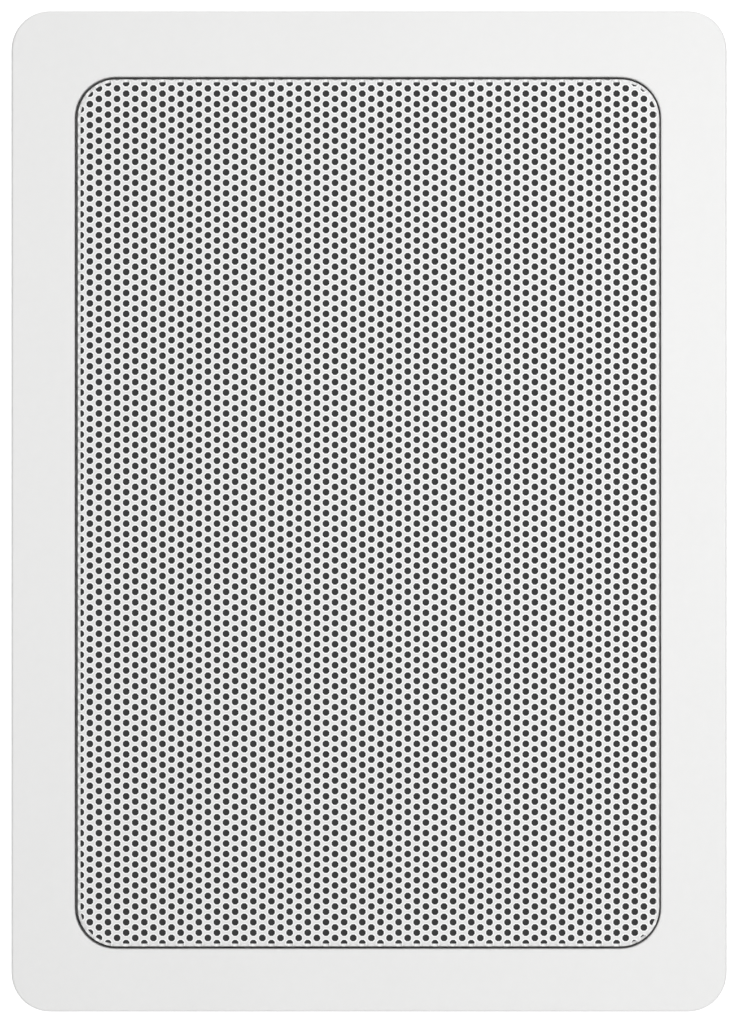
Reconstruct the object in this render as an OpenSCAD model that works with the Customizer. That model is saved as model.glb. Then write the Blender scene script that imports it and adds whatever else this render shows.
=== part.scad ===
// Public address wall speaker for flush mounting, with a perforated steel grille,
// a full-range driver and a 100 V line transformer.
// X is to the right, Z is up and Y runs into the wall. The wall plane is y = 0 and the
// listener stands on the -Y side. Every name that ends in _y is a place along Y.

/* [Front frame] */
// Width of the frame
frame_w = 187; // [183:1:195]
// Height of the frame
frame_h = 261.5; // [258:0.5:270]
// Radius of the frame's outer corners
frame_corner_r = 10.3; // [8:0.1:12]
// How far the flange stands in front of the wall
frame_t = 4; // [3.6:0.2:5]
// Thickness of the flange's front skin
skin_t = 2.2; // [1.8:0.1:2.6]
// Rounding of the frame's outer front edge
outer_edge_r = 0.6; // [0.4:0.1:1.2]
// How much wider the flange is at the wall than in front, on each side
side_draft = 0.25; // [0:0.05:0.5]
// Rounding of the window's front edge
window_edge_r = 0.5; // [0.3:0.1:0.8]
// Width of the plain border beside the window
border_w = 17; // [16:0.2:18.4]
// How far the flange's outline lies to the right of the window's middle
flange_right = 0.3; // [0:0.1:0.6]
// How far the flange's outline lies above the window's middle
flange_up = 0.4; // [0:0.1:0.6]
// Radius of the window's corners
window_corner_r = 10.7; // [8:0.1:12]
// Width of the rim that lies on the wall
rim_w = 2.4; // [2:0.1:3]
// Thickness of the collar round the window
collar_t = 2.2; // [1.8:0.1:2.6]
// Depth of the recess from the frame's face to the baffle
recess_depth = 8; // [7:0.5:10]
// Thickness of the baffle
baffle_t = 2.5; // [2.2:0.1:3]
// Thickness of the stiffening ribs
rib_t = 1.8; // [1.4:0.1:2.2]
// Height of the ribs and of the driver's seat behind the baffle
seat_h = 3; // [2.4:0.2:4]
// Spacing of the ribs under the flange
flange_rib_pitch = 24; // [20:1:32]

/* [Grille] */
// Gap between the grille and the window's edge
grille_gap = 0.65; // [0.5:0.05:1]
// Thickness of the grille's sheet
sheet_t = 0.7; // [0.6:0.05:0.9]
// Outer radius of the bend round the grille's face
bend_r = 1; // [1:0.1:1.6]
// How far the grille stands in front of the frame
grille_proud = 0.3; // [0:0.1:0.8]
// Distance between neighbouring holes of the real sheet
hole_pitch = 2.74; // [2.6:0.02:3.2]
// Diameter of the real sheet's holes
hole_d = 1.7; // [1.3:0.1:1.9]
// Each modelled hole stands for this many real holes, squared
pattern_step = 3; // [2:1:5]
// Height of the lip that holds the grille's rim
lip_h = 3; // [2:0.2:3.6]
// Thickness of that lip
lip_t = 1.5; // [1.2:0.1:2]
// Clearance between the lip and the grille's rim
lip_gap = 0.2; // [0.1:0.05:0.4]
// Thickness of the fleece behind the grille
fleece_t = 0.8; // [0.5:0.1:1.2]

/* [Back box screws] */
// Distance from the window's edges to the screw holes
box_screw_inset = 11.5; // [10:0.5:14]
// Diameter of the screw holes
box_screw_d = 4.5; // [4:0.1:5]
// Diameter of the pads round the holes
box_pad_d = 12; // [10:0.5:13]
// Height of the pads behind the baffle
box_pad_h = 2; // [1.4:0.2:3]

/* [Driver] */
// Height of the driver's axis above the window's middle
driver_up = 34; // [31:1:36]
// Diameter of the driver's round flange
flange_d = 130; // [128:0.5:134]
// Thickness of the pressed steel basket
basket_t = 1; // [0.8:0.1:1.2]
// Depth of the basket from its flange to the magnet's top plate
basket_depth = 29.5; // [28:0.5:32]
// Number of windows in the basket
basket_windows = 8; // [6:1:9]
// Radius of the basket's mounting ears
ear_r = 6; // [5:0.5:7]
// How far the driver's screws stand outside the round flange's edge
ear_beyond = 2; // [1.5:0.25:4]
// Width of the flange outside the surround's roll
flange_rim_w = 9; // [8.6:0.2:11]
// Depth of the cone
cone_depth = 16; // [14:0.5:17]
// Thickness of the cone's paper
paper_t = 0.6; // [0.4:0.05:0.8]
// Width of the surround's roll
roll_w = 6; // [5.6:0.1:6.4]
// Thickness of the surround's rubber
rubber_t = 0.5; // [0.4:0.05:0.7]
// Thickness of the card gasket on the flange
gasket_t = 1; // [0.8:0.1:1.4]
// Radius of the high-frequency cone
whizzer_r = 26; // [22:0.5:28]
// Outer diameter of the voice coil's former
former_d = 20; // [19:0.5:20.5]
// Height of the voice coil's winding
coil_h = 8; // [6:0.5:9]
// Diameter of the magnet
magnet_d = 70; // [66:1:76]
// Thickness of the magnet
magnet_h = 12; // [10:0.5:15]
// Thickness of the steel plates on both sides of the magnet
pole_plate_t = 4.5; // [4:0.5:6]
// Travel of the cone each way, which the solids leave free
cone_travel = 2.5; // [2:0.1:3]

/* [Transformer] */
// Width of the laminated core
core_w = 42; // [41:0.5:45]
// Height of the core above its feet
core_h = 35; // [33:0.5:37]
// Thickness of the stack of laminations
stack_t = 14.5; // [13:0.5:16]
// Thickness of the steel strap over the core
strap_t = 1; // [0.8:0.1:1.4]
// Width of the strap
strap_w = 10.5; // [9:0.5:12.5]
// Height of the posts that carry the transformer and the terminal block
post_h = 4.5; // [4:0.1:5.5]
// Diameter of these posts
post_d = 9; // [8:0.5:10]

/* [Terminal block] */
// Distance from the terminal block to the window's lower edge
block_gap = 3.75; // [2.5:0.25:6]
// Number of terminals
ways = 4; // [3:1:5]
// Distance between neighbouring terminals
way_pitch = 10; // [9.6:0.2:11]
// Length of the block along the wires
block_l = 20; // [18:0.5:20]
// Height of the block's screw towers
tower_h = 14; // [13:0.5:16]

/* [Screws] */
// Diameter of the self-tapping screws
screw_d = 2.9; // [2.6:0.1:3.2]
// Length of the screws below their heads
screw_l = 6; // [5:0.5:6.4]
// Diameter of the screws' heads
screw_head_d = 6.8; // [6:0.2:7.4]
// Height of the screws' heads
screw_head_h = 2.2; // [1.8:0.1:2.6]

/* [Leads] */
// Diameter of the insulated leads
lead_d = 1.6; // [1.2:0.1:2]
// Diameter of the braided leads to the cone
braid_d = 1; // [0.8:0.1:1.2]
// Length over which a braid runs straight on from its ends
braid_slack = 10; // [8:1:12]

/* [Hidden] */
$fn = 48;

// Pieces that are made as one overlap by this much before they are joined
weld = 0.4;
// Clearance of a screw in its hole, and of loose pieces in their seats
fit = 0.1;

window_w = frame_w - 2 * border_w;
window_h = frame_h - 2 * border_w;
face_y = -frame_t;
baffle_y = face_y + recess_depth;
baffle_back_y = baffle_y + baffle_t;

grille_w = window_w - 2 * grille_gap;
grille_h = window_h - 2 * grille_gap;
grille_corner_r = window_corner_r - grille_gap;
grille_y = face_y - grille_proud;
sheet_back_y = grille_y + sheet_t;
flat_w = grille_w - 2 * bend_r;
flat_h = grille_h - 2 * bend_r;
flat_corner_r = grille_corner_r - bend_r;
modelled_pitch = hole_pitch * pattern_step;
modelled_hole_d = hole_d * pattern_step;
hole_margin = 0.6;
fleece_back_y = sheet_back_y + fleece_t;
fleece_play = 0.6;
fleece_inset = sheet_t + fleece_play;
lip_inset = grille_gap + sheet_t + lip_gap;

box_screw_x = window_w / 2 - box_screw_inset;
box_screw_z = window_h / 2 - box_screw_inset;
box_pad_y = baffle_back_y + box_pad_h;

// Stack of the driver, from the baffle to the back plate
seat_y = baffle_back_y + seat_h;
flange_y = seat_y + gasket_t;
plate_y = flange_y + basket_depth;
magnet_y = plate_y + pole_plate_t;
back_plate_y = magnet_y + magnet_h;
back_y = back_plate_y + pole_plate_t;

// Radii of the driver, from its flange inwards
flange_r = flange_d / 2;
ear_at_r = flange_r + ear_beyond;
cone_r = flange_r - flange_rim_w - roll_w;
roll_r = cone_r + roll_w / 2;
roll_out_r = cone_r + roll_w;
mouth_inset = 1.8;
basket_mouth_r = roll_out_r - mouth_inset;
glue_w = 2.5;
surround_lip_w = 3.8;
surround_lip_r = roll_out_r + surround_lip_w;
seat_play = 1;
seat_in_r = roll_out_r + seat_play;
seat_out_r = flange_r + seat_play;
rim_inset = 0.5;
gasket_r = flange_r - rim_inset;
boss_r = ear_r - rim_inset;
ledge_out_r = 34;
ledge_in_r = 28;
ledge_drop = 9;
ledge_y = plate_y - ledge_drop;
spider_t = 0.5;
spider_wave = 0.9;
spider_waves = 4;
former_r = former_d / 2;
former_t = 0.2;
coil_t = 0.4;
inner_air_gap = 0.3;
outer_air_gap = 0.4;
pole_r = former_r - former_t - inner_air_gap;
top_plate_bore_r = former_r + coil_t + outer_air_gap;
plate_inset = 2.5;
plate_r = magnet_d / 2 - plate_inset;
magnet_bore_r = 18;
neck_y = flange_y + cone_depth;
coil_mid_y = plate_y + pole_plate_t / 2;
whizzer_t = 0.4;
whizzer_play = 1.5;
whizzer_edge_y = flange_y + cone_travel + whizzer_play;

window_foot_w = 3;
window_head_w = 2.7;
window_in_r = ledge_out_r + window_foot_w;
window_out_r = basket_mouth_r - window_head_w;
window_mid_r = (window_in_r + window_out_r) / 2;
window_end_r = (window_out_r - window_in_r) / 2;
spoke_w = 9;

tab_inset = 4;
tab_at_r = flange_r - tab_inset;
tab_w = 22;
tab_h = 14;
tab_y = flange_y + tab_h;
strip_t = 1.5;
strip_foot = 3;
strip_head = 1;
strip_y = [flange_y + strip_foot, tab_y - strip_head];
tag_x = 7;
tag_w = 3.2;
tag_t = 0.5;
tag_foot = 5;
tag_l = 15;
tag_y = [flange_y + tag_foot, flange_y + tag_foot + tag_l];
tag_eye = 3;
tag_rivet_y = tag_y[0] + tag_eye;
tag_rivet_r = 1;
strip_at_r = tab_at_r + basket_t;
tag_at_r = strip_at_r + strip_t;

// Transformer, midway between driver and terminal block, with limbs and yokes in the usual
// proportions of scrapless laminations
block_up = block_gap + block_l / 2 - window_h / 2;
transformer_up = (driver_up - flange_r + block_up + block_l / 2) / 2;
post_y = baffle_back_y + post_h;
limb_w = core_w / 6;
window_gap = core_h - 2 * limb_w;
core_y = post_y + strap_t;
strap_ear_l = 5.5;
ear_x = core_w / 2 + strap_t + strap_ear_l;
bobbin_wall = 1;
bobbin_flange_t = 1.2;
bobbin_y = core_y + limb_w + fit;
bobbin_h = window_gap - 2 * fit;
winding_play = 0.6;
winding_t = limb_w - bobbin_wall - 3 * fit - winding_play;
bobbin_half_x = limb_w + limb_w - fit;
bobbin_half_z = stack_t / 2 + limb_w - fit;
lug_ledge = 3;
lug_y = bobbin_y + bobbin_h - lug_ledge / 2;
lug_l = 7;
lug_w = 1.6;
lug_t = 0.6;
lug_pitch = 6;
tap_x = [for (k = [0 : ways - 1]) (k - (ways - 1) / 2) * lug_pitch];

// Terminal block
way_x = [for (k = [0 : ways - 1]) (k - (ways - 1) / 2) * way_pitch];
block_base_h = 4;
tower_r = 3.6;
tower_z = block_l / 4;
channel_a = 5;
channel_sink = 1;
channel_mid_y = post_y + block_base_h + channel_a / 2 - channel_sink;
insert_wall = 0.8;
insert_inset = 2;
insert_l = block_l - 2 * insert_inset;
clamp_screw_r = 1.4;
clamp_head_r = 2.5;
clamp_head_h = 1.8;
way_w = way_pitch * 0.86;
block_post_x = way_x[ways - 1] + way_w / 2 + screw_head_d / 2 + 3 * fit;
block_rim = 1;
block_end_x = block_post_x + screw_head_d / 2 + block_rim;

pilot_play = 0.6;
pilot_depth = screw_l - basket_t + pilot_play;

// Turns a piece so that its own Z axis runs into the wall
module into_wall() {
    rotate([-90, 0, 0]) children();
}

// Extrudes an outline drawn in X and Z from one depth to another
module slab(from_y, to_y) {
    translate([0, to_y, 0])
        rotate([90, 0, 0])
            linear_extrude(to_y - from_y) children();
}

// Outline of a rectangle with round corners
module rounded_rectangle(w, h, r) {
    square([w - 2 * r, h], center = true);
    square([w, h - 2 * r], center = true);
    for (x = [-1, 1], z = [-1, 1])
        translate([x * (w / 2 - r), z * (h / 2 - r)]) circle(r);
}

// Carries a profile round a rectangle with round corners; the profile's X points outwards
// from that rectangle and its Y is the place along the depth
module round_trip(w, h, r) {
    for (side = [0 : 3]) {
        reach = side % 2 == 0 ? w / 2 : h / 2;
        run = (side % 2 == 0 ? h : w) - 2 * r;
        rotate([0, 0, 90 * side]) {
            translate([reach, run / 2, 0])
                rotate([90, 0, 0])
                    linear_extrude(run) children();
            translate([reach - r, run / 2, 0])
                rotate_extrude(angle = 90)
                    translate([r, 0]) children();
        }
    }
}

// Places a piece on the driver's axis, with its own Z as the place along the depth
module on_driver_axis() {
    translate([0, 0, driver_up]) into_wall() children();
}

// Turned piece on the driver's axis; its profile is drawn as radius and place along the depth
module turned() {
    on_driver_axis() rotate_extrude() children();
}

// Pan-head screw with a cross recess; it stands on its seat and its shank runs to -Z
module pan_screw(length) {
    recess_w = 0.9;
    round_r = screw_head_h * 0.6;
    difference() {
        union() {
            rotate_extrude() {
                square([screw_head_d / 2, screw_head_h - round_r]);
                square([screw_head_d / 2 - round_r, screw_head_h]);
                translate([screw_head_d / 2 - round_r, screw_head_h - round_r])
                    intersection() {
                        circle(round_r);
                        square(round_r);
                    }
            }
            translate([0, 0, 1.5 - length]) cylinder(h = length - 1.5 + weld, d = screw_d);
            translate([0, 0, -length]) cylinder(h = 1.5, d1 = 0.8, d2 = screw_d);
        }
        for (turn = [0, 90])
            rotate([0, 0, turn])
                translate([-screw_head_d * 0.3, -recess_w / 2, screw_head_h * 0.4])
                    cube([screw_head_d * 0.6, recess_w, screw_head_h]);
    }
}

// Screws with their heads at one depth
module screws_at(places, head_y) {
    for (p = places)
        translate([p[0], head_y, p[1]]) into_wall() pan_screw(screw_l);
}

// Where the screws stand, as X and Z
ear_places = [for (a = [45 : 90 : 315]) [ear_at_r * cos(a), driver_up + ear_at_r * sin(a)]];
transformer_places = [for (s = [-1, 1]) [s * ear_x, transformer_up]];
block_places = [for (s = [-1, 1]) [s * block_post_x, block_up]];
box_places = [for (x = [-1, 1], z = [-1, 1]) [x * box_screw_x, z * box_screw_z]];

// Blind holes for self-tapping screws, open at the given depth
module pilot_holes(places, open_y) {
    for (p = places)
        translate([p[0], open_y - pilot_depth, p[1]])
            into_wall() cylinder(h = pilot_depth + 1, d = screw_d + 2 * fit);
}

// Flange with a rounded front edge and drafted sides, solid behind
module flange_plate() {
    inset = outer_edge_r + side_draft;
    flat_face = [frame_w - 2 * inset, frame_h - 2 * inset, frame_corner_r - inset];
    translate([flange_right, 0, flange_up]) into_wall() {
        translate([0, 0, face_y])
            linear_extrude(frame_t) rounded_rectangle(flat_face[0], flat_face[1], flat_face[2]);
        round_trip(flat_face[0], flat_face[1], flat_face[2]) {
            polygon([
                [0, face_y + outer_edge_r], [outer_edge_r, face_y + outer_edge_r], [inset, 0], [0, 0]
            ]);
            intersection() {
                translate([0, face_y + outer_edge_r]) circle(outer_edge_r);
                translate([0, face_y]) square(outer_edge_r);
            }
        }
    }
}

// Outline of the ribs that cross the hollow under the flange
module flange_ribs() {
    rows = floor((window_h / 2 - window_corner_r) / flange_rib_pitch);
    columns = floor((window_w / 2 - window_corner_r) / flange_rib_pitch);
    for (k = [-rows : rows])
        translate([0, k * flange_rib_pitch]) square([frame_w, rib_t], center = true);
    for (k = [-columns : columns])
        translate([k * flange_rib_pitch, 0]) square([rib_t, frame_h], center = true);
}

// The hollow under the flange, open to the wall
module flange_hollow() {
    slab(face_y + skin_t, 1) difference() {
        translate([flange_right, flange_up])
            rounded_rectangle(frame_w - 2 * rim_w, frame_h - 2 * rim_w, frame_corner_r - rim_w);
        rounded_rectangle(
            window_w + 2 * collar_t, window_h + 2 * collar_t, window_corner_r + collar_t
        );
        flange_ribs();
    }
}

// The recess for the grille, with a rounded front edge
module recess() {
    slab(face_y - 1, baffle_y) rounded_rectangle(window_w, window_h, window_corner_r);
    into_wall() round_trip(window_w, window_h, window_corner_r) difference() {
        translate([-weld, face_y - 1]) square([window_edge_r + weld, window_edge_r + 1]);
        translate([window_edge_r, face_y + window_edge_r]) circle(window_edge_r);
    }
}

// Lip inside the grille's rim, which makes the groove that the rim sits in
module grille_lip() {
    slab(baffle_y - lip_h, baffle_y + weld) difference() {
        rounded_rectangle(
            window_w - 2 * lip_inset, window_h - 2 * lip_inset, window_corner_r - lip_inset
        );
        rounded_rectangle(
            window_w - 2 * lip_inset - 2 * lip_t, window_h - 2 * lip_inset - 2 * lip_t,
            window_corner_r - lip_inset - lip_t
        );
    }
}

// Ring and bosses that the driver is screwed to
module driver_seat() {
    slab(baffle_back_y - weld, seat_y) translate([0, driver_up]) difference() {
        circle(seat_out_r);
        circle(seat_in_r);
    }
    for (p = ear_places)
        translate([p[0], baffle_back_y - weld, p[1]])
            into_wall() cylinder(h = flange_y - baffle_back_y + weld, r = boss_r);
}

// Ribs that run from the driver's seat to the edge of the baffle
module baffle_ribs() {
    rib_step = 30;
    slab(baffle_back_y - weld, seat_y - 0.5) intersection() {
        rounded_rectangle(window_w, window_h, window_corner_r);
        translate([0, driver_up])
            for (a = [rib_step / 2 : rib_step : 360])
                rotate(a)
                    translate([seat_out_r - 1, -rib_t / 2]) square([window_h, rib_t]);
    }
}

// Round posts behind the baffle
module posts(places, d, to_y) {
    for (p = places)
        translate([p[0], baffle_back_y - weld, p[1]])
            into_wall() cylinder(h = to_y - baffle_back_y + weld, d = d);
}

// One moulding: flange, collar, baffle, groove, driver's seat, pads and posts
module front_frame() {
    color("white") difference() {
        union() {
            difference() {
                union() {
                    flange_plate();
                    slab(-weld, baffle_back_y) rounded_rectangle(
                        window_w + 2 * collar_t, window_h + 2 * collar_t, window_corner_r + collar_t
                    );
                }
                recess();
                flange_hollow();
            }
            grille_lip();
            driver_seat();
            baffle_ribs();
            posts(box_places, box_pad_d, box_pad_y);
            posts(transformer_places, post_d, post_y);
            posts(block_places, post_d, post_y);
        }
        translate([0, baffle_y - 1, driver_up])
            into_wall() cylinder(h = baffle_t + 1 + seat_h / 2, r = seat_in_r, $fn = 96);
        pilot_holes(ear_places, flange_y);
        pilot_holes(transformer_places, post_y);
        pilot_holes(block_places, post_y);
        for (p = box_places)
            translate([p[0], baffle_y - 1, p[1]])
                into_wall() cylinder(h = baffle_t + box_pad_h + 2, d = box_screw_d);
    }
}

// Whether a hole of radius r at a point lies inside the grille's flat face
function in_face(x, z, r) =
    let (
        room_w = flat_w / 2 - r - hole_margin,
        room_h = flat_h / 2 - r - hole_margin,
        bend = max(0.1, flat_corner_r - r - hole_margin),
        past_x = max(0, abs(x) - (room_w - bend)),
        past_z = max(0, abs(z) - (room_h - bend))
    )
    norm([past_x, past_z]) <= bend;

// Centres of the holes: upright columns, each set half a pitch from its neighbours
function hole_places(pitch, r) =
    let (
        step_x = pitch * cos(30),
        columns = ceil(flat_w / 2 / step_x),
        rows = ceil(flat_h / 2 / pitch)
    )
    [
        for (i = [-columns : columns], j = [-rows : rows])
            let (x = i * step_x, z = (j + (abs(i) % 2) / 2) * pitch)
                if (in_face(x, z, r)) [x, z]
    ];

// Steel tray with a perforated face and a rim that is pushed into the frame's groove
module grille() {
    color("whitesmoke") {
        slab(grille_y, sheet_back_y) difference() {
            rounded_rectangle(flat_w, flat_h, flat_corner_r);
            for (p = hole_places(modelled_pitch, modelled_hole_d / 2))
                translate(p) circle(d = modelled_hole_d);
        }
        into_wall() round_trip(flat_w, flat_h, flat_corner_r) {
            translate([0, grille_y + bend_r]) intersection() {
                difference() {
                    circle(bend_r);
                    circle(bend_r - sheet_t);
                }
                translate([0, -bend_r]) square(bend_r);
            }
            translate([bend_r - sheet_t, grille_y + bend_r])
                square([sheet_t, baffle_y - grille_y - bend_r]);
        }
    }
}

// Acoustic fleece glued behind the grille
module grille_fleece() {
    color("dimgray")
        slab(sheet_back_y, fleece_back_y) rounded_rectangle(
            grille_w - 2 * fleece_inset, grille_h - 2 * fleece_inset,
            grille_corner_r - fleece_inset
        );
}

// Card ring that covers the surround's edge and seals the flange to the frame, with a
// notch for each boss
module rim_gasket() {
    color("dimgray") difference() {
        turned() {
            translate([seat_in_r, seat_y]) square([gasket_r - seat_in_r, gasket_t - rubber_t]);
            translate([surround_lip_r + fit, seat_y])
                square([gasket_r - surround_lip_r - fit, gasket_t]);
        }
        for (p = ear_places)
            translate([p[0], seat_y - 1, p[1]])
                into_wall() cylinder(h = gasket_t + 2, r = boss_r + 3 * fit);
    }
}

// Section of the basket from flange to magnet, with the same thickness on its sloping wall
function basket_section() =
    let (
        slope = atan2(ledge_y - flange_y, basket_mouth_r - ledge_out_r),
        shift = basket_t * tan(slope / 2)
    )
    [
        [flange_r, flange_y],
        [basket_mouth_r, flange_y],
        [ledge_out_r, ledge_y],
        [ledge_in_r, ledge_y],
        [ledge_in_r, plate_y - basket_t],
        [top_plate_bore_r + 2, plate_y - basket_t],
        [top_plate_bore_r + 2, plate_y],
        [ledge_in_r + basket_t, plate_y],
        [ledge_in_r + basket_t, ledge_y + basket_t],
        [ledge_out_r + shift, ledge_y + basket_t],
        [basket_mouth_r + shift, flange_y + basket_t],
        [flange_r, flange_y + basket_t]
    ];

// Outline of one kidney-shaped window, as steps along its two arcs and its two round ends
function window_outline() =
    let (
        half_turn = 180 / basket_windows - (spoke_w / 2 + window_end_r) / window_mid_r * 180 / PI,
        steps = 8
    )
    [
        for (k = [0 : steps])
            window_out_r * heading(half_turn * (2 * k / steps - 1)),
        for (k = [1 : steps - 1])
            window_mid_r * heading(half_turn) + window_end_r * heading(half_turn + 180 * k / steps),
        for (k = [0 : steps])
            window_in_r * heading(half_turn * (1 - 2 * k / steps)),
        for (k = [1 : steps - 1])
            window_mid_r * heading(-half_turn) + window_end_r * heading(180 * (1 + k / steps) - half_turn)
    ];

// Unit vector at an angle
function heading(a) = [cos(a), sin(a)];

// Outlines of all the windows punched through the basket's sloping wall
module basket_window_outlines() {
    for (k = [0 : basket_windows - 1])
        rotate(360 / basket_windows * (k + 0.5)) polygon(window_outline());
}

// Pressed steel chassis of the driver
module basket() {
    color("silver") difference() {
        union() {
            turned() polygon(basket_section());
            for (p = ear_places)
                translate([p[0], flange_y, p[1]]) into_wall() cylinder(h = basket_t, r = ear_r);
            translate([-tab_w / 2, flange_y, driver_up - tab_at_r - basket_t])
                cube([tab_w, tab_y - flange_y, basket_t]);
        }
        on_driver_axis()
            rotate([0, 0, 90])
                translate([0, 0, flange_y + basket_t + 0.2])
                    linear_extrude(ledge_y - flange_y - basket_t) basket_window_outlines();
        for (p = ear_places)
            translate([p[0], flange_y - 1, p[1]])
                into_wall() cylinder(h = basket_t + 2, d = screw_d + 1);
        tag_rivet_holes(basket_t, tab_at_r);
    }
}

// Holes for the tag strip's rivets through a sheet that lies under the driver
module tag_rivet_holes(thickness, at_r) {
    for (s = [-1, 1])
        translate([s * tag_x, tag_rivet_y, driver_up - at_r - thickness - 1])
            cylinder(h = thickness + 2, r = tag_rivet_r + fit);
}

module driver_screws() {
    color("gainsboro") screws_at(ear_places, flange_y + basket_t);
}

// Rubber roll between the cone and the basket
module surround() {
    color("black") turned() {
        translate([cone_r - glue_w, flange_y - rubber_t]) square([glue_w + rubber_t, rubber_t]);
        translate([roll_out_r - rubber_t, flange_y - rubber_t])
            square([surround_lip_r - roll_out_r + rubber_t, rubber_t]);
        translate([roll_r, flange_y]) intersection() {
            difference() {
                circle(roll_w / 2);
                circle(roll_w / 2 - rubber_t);
            }
            translate([-roll_w / 2, -roll_w / 2]) square([roll_w, roll_w / 2]);
        }
    }
}

// Place along the depth of the cone's front face at a radius: a slightly curved flare
cone_steps = 10;
cone_flare = 0.88;
function cone_face_y(r) =
    let (share = (r - former_r) / (cone_r - glue_w - former_r))
        neck_y - (neck_y - flange_y) * pow(share, cone_flare);

// Paper cone with a flat rim under the surround
module cone() {
    radii = [
        for (k = [0 : cone_steps]) former_r + (cone_r - glue_w - former_r) * k / cone_steps
    ];
    color("dimgray") turned() polygon(concat(
        [for (r = radii) [r, cone_face_y(r)]],
        [[cone_r, flange_y], [cone_r, flange_y + paper_t]],
        [for (k = [cone_steps : -1 : 0]) [radii[k], cone_face_y(radii[k]) + paper_t]]
    ));
}

// Small stiff cone for the high notes, glued to the neck of the main one
module whizzer_cone() {
    foot_y = neck_y - whizzer_t - fit;
    steps = 6;
    face = [
        for (k = [0 : steps])
            let (share = k / steps)
                [
                    former_r + fit + (whizzer_r - former_r - fit) * share,
                    foot_y - (foot_y - whizzer_edge_y) * pow(share, 0.8)
                ]
    ];
    color("gray") turned() polygon(concat(
        face,
        [for (k = [steps : -1 : 0]) [face[k][0] + (k == 0 ? 0 : 0.2), face[k][1] + whizzer_t]]
    ));
}

// Dome that closes the former's front end
module dust_cap() {
    rim_r = former_r - former_t;
    rise = 3.5;
    dome_r = (rim_r * rim_r + rise * rise) / (2 * rise);
    rim_y = neck_y - 1.5;
    color("dimgray") turned() {
        intersection() {
            translate([0, rim_y - rise + dome_r]) difference() {
                circle(dome_r, $fn = 96);
                circle(dome_r - paper_t, $fn = 96);
            }
            translate([0, rim_y - rise]) square([rim_r, rise]);
        }
        translate([rim_r - paper_t, rim_y]) square([paper_t, 1.5]);
    }
}

// Tube that carries the voice coil
module voice_coil_former() {
    color("tan") turned()
        translate([former_r - former_t, neck_y - 1.5])
            square([former_t, coil_mid_y + coil_h / 2 + 0.5 - neck_y + 1.5]);
}

module voice_coil() {
    color("chocolate") turned()
        translate([former_r, coil_mid_y - coil_h / 2]) square([coil_t, coil_h]);
}

// Corrugated disc that centres the coil, from the former to the basket's ledge
module spider() {
    flat_y = ledge_y - spider_t;
    wave_r = [former_r + 1.5, ledge_in_r + 0.5];
    steps = 8 * spider_waves;
    wave = [
        for (k = [0 : steps])
            [
                wave_r[0] + (wave_r[1] - wave_r[0]) * k / steps,
                flat_y + spider_wave * sin(360 * spider_waves * k / steps)
            ]
    ];
    color("goldenrod") turned() polygon(concat(
        [[former_r, flat_y]], wave, [[ledge_out_r - 0.5, flat_y], [ledge_out_r - 0.5, ledge_y]],
        [for (k = [steps : -1 : 0]) wave[k] + [0, spider_t]], [[former_r, ledge_y]]
    ));
}

// Steel washer in front of the magnet
module top_plate() {
    color("silver") turned()
        translate([top_plate_bore_r, plate_y]) square([plate_r - top_plate_bore_r, pole_plate_t]);
}

module magnet() {
    color("dimgray") turned()
        translate([magnet_bore_r, magnet_y]) square([magnet_d / 2 - magnet_bore_r, magnet_h]);
}

// Back plate and pole piece, forged in one
module yoke() {
    edge = 1;
    color("silver") turned() polygon([
        [0, plate_y], [pole_r - 0.5, plate_y], [pole_r, plate_y + 0.5], [pole_r, back_plate_y],
        [plate_r, back_plate_y], [plate_r, back_y - edge], [plate_r - edge, back_y], [0, back_y]
    ]);
}

// Insulating strip riveted to the basket's tab
module tag_strip() {
    color("peru") difference() {
        translate([-tab_w / 2, strip_y[0], driver_up - strip_at_r - strip_t])
            cube([tab_w, strip_y[1] - strip_y[0], strip_t]);
        tag_rivet_holes(strip_t, strip_at_r);
    }
}

// Two solder tags under the strip, each with an eye for its lead
module solder_tags() {
    color("silver") for (s = [-1, 1]) difference() {
        translate([s * tag_x - tag_w / 2, tag_y[0], driver_up - tag_at_r - tag_t])
            cube([tag_w, tag_y[1] - tag_y[0], tag_t]);
        translate([s * tag_x, tag_y[1] - 2, driver_up - tag_at_r - tag_t - 1])
            cylinder(h = tag_t + 2, r = 0.7);
        translate([s * tag_x, tag_rivet_y, driver_up - tag_at_r - tag_t - 1])
            cylinder(h = tag_t + 2, r = tag_rivet_r + fit);
    }
}

// Rivets through tab, strip and tags
module tag_rivets() {
    head_h = 0.6;
    low = driver_up - tag_at_r - tag_t;
    high = driver_up - tab_at_r;
    color("silver") for (s = [-1, 1]) translate([s * tag_x, tag_rivet_y, 0]) {
        translate([0, 0, low - head_h]) cylinder(h = high - low + 2 * head_h, r = tag_rivet_r);
        for (z = [low - head_h, high]) translate([0, 0, z]) cylinder(h = head_h, r = 1.9 * tag_rivet_r);
    }
}

// Point on a smooth curve through four control points
function bezier(p, t) =
    pow(1 - t, 3) * p[0] + 3 * t * pow(1 - t, 2) * p[1]
    + 3 * t * t * (1 - t) * p[2] + t * t * t * p[3];

// Unit vector along such a curve
function along(p, t) =
    let (
        d = pow(1 - t, 2) * (p[1] - p[0]) + 2 * t * (1 - t) * (p[2] - p[1])
            + t * t * (p[3] - p[2])
    )
    d / norm(d);

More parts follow.
